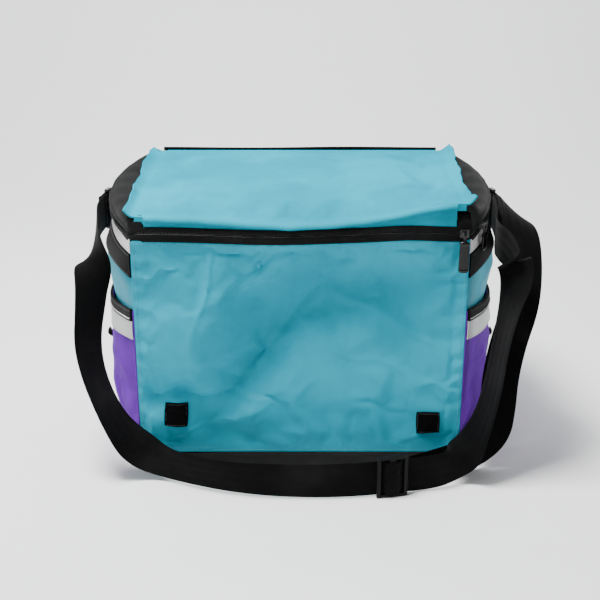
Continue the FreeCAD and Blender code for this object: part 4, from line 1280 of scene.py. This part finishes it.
def webbing(name, colour, pitch=0.0021):
    """Polyester webbing: cross ribs, herringbone warps, fuzz, painted shade in its low threads and a painted
    highlight on its high threads.
    """
    material, tree, base = shader(name, colour, 0.72)
    base.inputs["Sheen Weight"].default_value = 0.04
    base.inputs["Sheen Roughness"].default_value = 0.45
    base.inputs["Specular IOR Level"].default_value = 0.04
    place = tree.nodes.new("ShaderNodeTexCoord")
    uv, where = place.outputs["UV"], place.outputs["Object"]
    ribs = wave_at(tree, uv, pitch, "X")
    warps = wave_at(tree, uv, pitch * 0.75, "Y")
    split = tree.nodes.new("ShaderNodeSeparateXYZ")
    tree.links.new(uv, split.inputs[0])
    slant = maths(tree, "PINGPONG", split.outputs["Y"], 0.0048)
    turned = maths(tree, "ADD", split.outputs["X"], maths(tree, "MULTIPLY", slant, 0.9))
    joined_uv = tree.nodes.new("ShaderNodeCombineXYZ")
    tree.links.new(turned, joined_uv.inputs[0])
    tree.links.new(split.outputs["Y"], joined_uv.inputs[1])
    herring = wave_at(tree, joined_uv.outputs[0], pitch * 0.9, "X")
    height = maths(tree, "ADD", maths(tree, "MULTIPLY", herring, 0.7),
            maths(tree, "ADD", maths(tree, "MULTIPLY", warps, 0.35), maths(tree, "MULTIPLY", ribs, 0.2)))
    fuzz = noise_at(tree, where, 420.0, 3.0, 0.7)
    broad = noise_at(tree, where, 16.0, 4.0)
    # painted shade in the weave's low threads and a painted highlight on its high threads
    tone = mixed(tree, stepped(tree, height, 0.35, 1.1), tuple(c * 0.45 for c in colour) + (1,),
            tuple(c * 1.5 for c in colour) + (1,))
    tone = mixed(tree, maths(tree, "MULTIPLY", stepped(tree, broad, 0.45, 0.8), 0.45), tone,
            (0.014, 0.014, 0.0135, 1))
    tone = mixed(tree, maths(tree, "MULTIPLY", stepped(tree, fuzz, 0.62, 0.8), 0.22), tone,
            (0.035, 0.034, 0.033, 1))
    tree.links.new(tone, base.inputs["Base Color"])
    bumped(tree, base, [(broad, 0.15, 0.002), (height, 0.75, 0.00035), (fuzz, 0.25, 0.0002)])
    return material


def reflective(name, colour, metal, rough):
    """Glass-bead reflective tape with a fine cross-hatched print, scuffs and soft creases."""
    material, tree, base = shader(name, colour, rough, Metallic=metal)
    place = tree.nodes.new("ShaderNodeTexCoord")
    uv, where = place.outputs["UV"], place.outputs["Object"]
    beads = tree.nodes.new("ShaderNodeTexVoronoi")
    beads.inputs["Scale"].default_value = 2600.0
    tree.links.new(uv, beads.inputs["Vector"])
    hatch = maths(tree, "MAXIMUM", wave_at(tree, uv, 0.0022, "DIAGONAL"), wave_at(tree, uv, 0.0011, "Y"))
    scuff = noise_at(tree, scaled(tree, uv, (60, 240, 1)), 1.0, 6.0, 0.7)
    broad = noise_at(tree, where, 14.0, 4.0)
    tone = mixed(tree, maths(tree, "MULTIPLY", stepped(tree, broad, 0.35, 0.75), 0.6),
            tuple(c * 0.88 for c in colour) + (1,), colour + (1,))
    tone = mixed(tree, maths(tree, "MULTIPLY", stepped(tree, scuff, 0.58, 0.78), 0.45), tone,
            tuple(c * 0.55 for c in colour) + (1,))
    tone = mixed(tree, maths(tree, "MULTIPLY", hatch, 0.07), tone, tuple(c * 0.5 for c in colour) + (1,))
    tree.links.new(tone, base.inputs["Base Color"])
    bumped(tree, base, [(broad, 0.3, 0.003), (scuff, 0.3, 0.0004),
            (beads.outputs["Distance"], 0.15, 0.00008)])
    return material


def plastic(name, colour, rough, dust=0.25, specular=0.5):
    """Moulded plastic with a faint orange-peel, handling scratches and dust."""
    material, tree, base = shader(name, colour, rough)
    base.inputs["Specular IOR Level"].default_value = specular
    place = tree.nodes.new("ShaderNodeTexCoord")
    where = place.outputs["Object"]
    peel = noise_at(tree, where, 900.0, 2.0)
    scratch = noise_at(tree, scaled(tree, where, (1400, 60, 300)), 1.0, 3.0, 0.7)
    fine = noise_at(tree, where, 120.0, 5.0, 0.7)
    tone = mixed(tree, maths(tree, "MULTIPLY", stepped(tree, fine, 0.5, 0.75), dust), colour + (1,),
            (0.05, 0.05, 0.049, 1))
    tree.links.new(tone, base.inputs["Base Color"])
    shine = maths(tree, "ADD", rough, maths(tree, "MULTIPLY", stepped(tree, scratch, 0.55, 0.75), 0.22))
    tree.links.new(shine, base.inputs["Roughness"])
    bumped(tree, base, [(fine, 0.10, 0.0004), (peel, 0.12, 0.00008), (scratch, 0.10, 0.00006)])
    return material


def liner_film():
    """Pearly heat-welded liner film with quilting creases."""
    material, tree, base = shader("liner", (0.66, 0.68, 0.70), 0.32)
    base.inputs["Coat Weight"].default_value = 0.25
    place = tree.nodes.new("ShaderNodeTexCoord")
    uv, where = place.outputs["UV"], place.outputs["Object"]
    creases = noise_at(tree, where, 38.0, 7.0, 0.68)
    broad = noise_at(tree, where, 10.0, 3.0)
    grain = noise_at(tree, uv, 900.0, 2.0)
    tone = mixed(tree, stepped(tree, broad, 0.3, 0.75), (0.56, 0.58, 0.60, 1), (0.74, 0.75, 0.76, 1))
    # darker along the creases: painted shade in the creases
    tone = mixed(tree, maths(tree, "MULTIPLY", stepped(tree, creases, 0.6, 0.8), 0.35), tone,
            (0.30, 0.29, 0.27, 1))
    tree.links.new(tone, base.inputs["Base Color"])
    bumped(tree, base, [(broad, 0.35, 0.006), (creases, 0.55, 0.0022), (grain, 0.1, 0.0001)])
    return material


def foam_material():
    material, tree, base = shader("foam", (0.80, 0.80, 0.77), 0.9)
    place = tree.nodes.new("ShaderNodeTexCoord")
    cells = tree.nodes.new("ShaderNodeTexVoronoi")
    cells.inputs["Scale"].default_value = 1100.0
    tree.links.new(place.outputs["Object"], cells.inputs["Vector"])
    broad = noise_at(tree, place.outputs["Object"], 30.0)
    tone = mixed(tree, stepped(tree, broad, 0.3, 0.8), (0.72, 0.71, 0.66, 1), (0.85, 0.85, 0.83, 1))
    tree.links.new(tone, base.inputs["Base Color"])
    bumped(tree, base, [(cells.outputs["Distance"], 0.5, 0.0004)])
    return material


def hooks_material():
    """Hook tape: rows of tiny hooks, with lint caught in them."""
    material, tree, base = shader("hook_loop", (0.005, 0.005, 0.0055), 0.9)
    base.inputs["Sheen Weight"].default_value = 0.02
    base.inputs["Specular IOR Level"].default_value = 0.02
    place = tree.nodes.new("ShaderNodeTexCoord")
    uv, where = place.outputs["UV"], place.outputs["Object"]
    rows = maths(tree, "MULTIPLY", wave_at(tree, uv, 0.0012, "X"), wave_at(tree, uv, 0.0016, "Y"))
    lint = noise_at(tree, where, 260.0, 6.0, 0.75)
    tone = mixed(tree, rows, (0.002, 0.002, 0.0025, 1), (0.004, 0.004, 0.0043, 1))
    tone = mixed(tree, maths(tree, "MULTIPLY", stepped(tree, lint, 0.62, 0.72), 0.4), tone,
            (0.03, 0.03, 0.028, 1))
    tree.links.new(tone, base.inputs["Base Color"])
    bumped(tree, base, [(rows, 0.9, 0.0005), (lint, 0.4, 0.0005)])
    return material


def thread(name, colour):
    material, tree, base = shader(name, colour, 0.7)
    base.inputs["Sheen Weight"].default_value = 0.3
    place = tree.nodes.new("ShaderNodeTexCoord")
    twist = noise_at(tree, place.outputs["Object"], 1500.0, 2.0)
    tone = mixed(tree, twist, tuple(c * 0.7 for c in colour) + (1,),
            tuple(min(1, c * 1.2) for c in colour) + (1,))
    tree.links.new(tone, base.inputs["Base Color"])
    bumped(tree, base, [(twist, 0.4, 0.0002)])
    return material


TEAL = (0.000, 0.330, 0.460)
materials = {
    "teal": woven("teal", TEAL, 0.60, dirt=0.16, dirt_colour=(0.015, 0.11, 0.13, 1),
            spots=[((-0.048, -0.152, 0.215), 0.011, 0.35), ((0.094, -0.140, 0.150), 0.0025, 0.7)]),
    # the lid's cloth uses a darker copy of the teal fabric: painted shade that offsets the strong light on the top
    "teal_top_painted_shade": woven("teal_top_painted_shade", (0.0, 0.285, 0.395), 0.65, specular=0.0, sheen=0.0, dirt=0.10,
            dirt_colour=(0.02, 0.16, 0.19, 1), spots=[((-0.112, 0.062, 0.293), 0.0042, 0.55),
            ((-0.013, -0.118, 0.285), 0.014, 0.22)]),
    "purple": woven("purple", (0.135, 0.020, 0.380), 0.62, specular=0.02, sheen=0.0, dirt=0.18,
            dirt_colour=(0.05, 0.02, 0.10, 1), crease=0.4),
    "base": woven("base", (0.004, 0.004, 0.0043), 0.62, dirt=0.25, dirt_colour=(0.03, 0.03, 0.029, 1),
            pitch=0.0011, weave=0.8),
    "tape": woven("tape", (0.004, 0.004, 0.0043), 0.80, specular=0.04, dirt=0.22,
            dirt_colour=(0.04, 0.04, 0.04, 1), pitch=0.0010, weave=0.9, sheen=0.06),
    "coil": plastic("coil", (0.014, 0.014, 0.015), 0.38),
    "webbing": webbing("webbing", (0.0016, 0.0016, 0.0018)),
    "light_reflective": reflective("light_reflective", (0.80, 0.78, 0.78), 0.05, 0.45),
    "grey_reflective": reflective("grey_reflective", (0.52, 0.53, 0.54), 0.15, 0.42),
    "gloss_black": plastic("gloss_black", (0.0025, 0.0025, 0.003), 0.14, 0.05, 0.3),
    "matte_black": plastic("matte_black", (0.003, 0.003, 0.0033), 0.55, 0.0, 0.12),
    "slider": plastic("slider", (0.020, 0.020, 0.022), 0.30, 0.15),
    "board": plastic("board", (0.55, 0.55, 0.53), 0.6),
    "liner": liner_film(),
    "foam": foam_material(),
    "hook_loop": hooks_material(),
    "white_thread": thread("white_thread", (0.80, 0.80, 0.78)),
    "black_thread": thread("black_thread", (0.010, 0.010, 0.011)),
    "grey_thread": thread("grey_thread", (0.45, 0.45, 0.45)),
    "teal_thread": thread("teal_thread", (0.035, 0.34, 0.43)),
}


def paint(obj, name):
    obj.data.materials.clear()
    obj.data.materials.append(materials[name])


for obj, material_name, slot_name, body in pieces.values():
    paint(obj, material_name)
    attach(obj, body)

# straps: painted as webbing, their transforms baked into their meshes
for obj, clip, start_y in ((strap_left, "left_clip", -75), (strap_inner, "right_clip", -75),
        (strap_outer, "right_clip", -75)):
    paint(obj, "webbing")
    mirror = -1 if clip == "left_clip" else 1
    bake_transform(obj)
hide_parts("shoulder_strap")
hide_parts("strap_inner_run")
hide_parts("strap_outer_run")

# CAD nodes that are shown as they are
carried = {"tri_glide": "matte_black", "front_slider": "slider", "side_slider": "slider",
        "zipper_end_stops": "slider",
           "base_board": "board", "base_foam": "foam"}
for side in ("left", "right"):
    for part in ("d_ring", "snap_hook", "hook_gate", "swivel_eye"):
        carried[side + "_" + part] = "gloss_black"
for name, material_name in carried.items():
    obj = frame["nodes"][name]
    paint(obj, material_name)
    obj.data.set_sharp_from_angle(angle=math.radians(35))

# ---------------------------------------------------------------- stage: a pale sweep and soft light
sweep = []
for y in np.linspace(-2.5, 0.9, 8):
    sweep.append((y, 0.0))
for a in np.linspace(0, 90, 14)[1:]:
    sweep.append((0.9 + 0.9 * math.sin(math.radians(a)), 0.9 - 0.9 * math.cos(math.radians(a))))
sweep.append((1.8, 3.2))
verts = [(x, y, z) for y, z in sweep for x in (-4.0, 4.0)]
faces = [(2 * i, 2 * i + 1, 2 * i + 3, 2 * i + 2) for i in range(len(sweep) - 1)]
mesh = bpy.data.meshes.new("sweep")
mesh.from_pydata(verts, [], faces)
mesh.polygons.foreach_set("use_smooth", [True] * len(mesh.polygons))
backdrop = link(bpy.data.objects.new("sweep", mesh))
backdrop.location.z = -0.0002
paper, tree, base = shader("paper", (0.90, 0.905, 0.905), 0.75)
backdrop.data.materials.append(paper)


def lamp(name, place, aim, size, power, colour=(1, 1, 1)):
    data = bpy.data.lights.new(name, "AREA")
    data.shape = "RECTANGLE"
    data.size, data.size_y = size
    data.energy = power
    data.color = colour
    obj = link(bpy.data.objects.new(name, data))
    obj.location = place
    obj.rotation_euler = (Vector(aim) - Vector(place)).to_track_quat("-Z", "Y").to_euler()


lamp("overhead", (-0.40, -0.25, 1.65), (0.0, 0.0, 0.1), (0.6, 0.5), 66.0, (1.0, 0.995, 0.985))
lamp("left_box", (-1.7, -1.0, 1.0), (0.0, 0.0, 0.15), (0.8, 0.8), 8.0, (0.98, 0.99, 1.0))
lamp("backdrop_wash", (0.0, 0.75, 1.5), (0.0, 1.7, 0.35), (2.6, 0.4), 20.0)
lamp("right_box", (1.8, -0.8, 0.9), (0.0, 0.0, 0.15), (0.8, 0.8), 3.0)
world = bpy.data.worlds.new("room")
world.use_nodes = True
world.node_tree.nodes["Background"].inputs[0].default_value = (0.93, 0.96, 1.0, 1)
world.node_tree.nodes["Background"].inputs[1].default_value = 0.37
scene.world = world
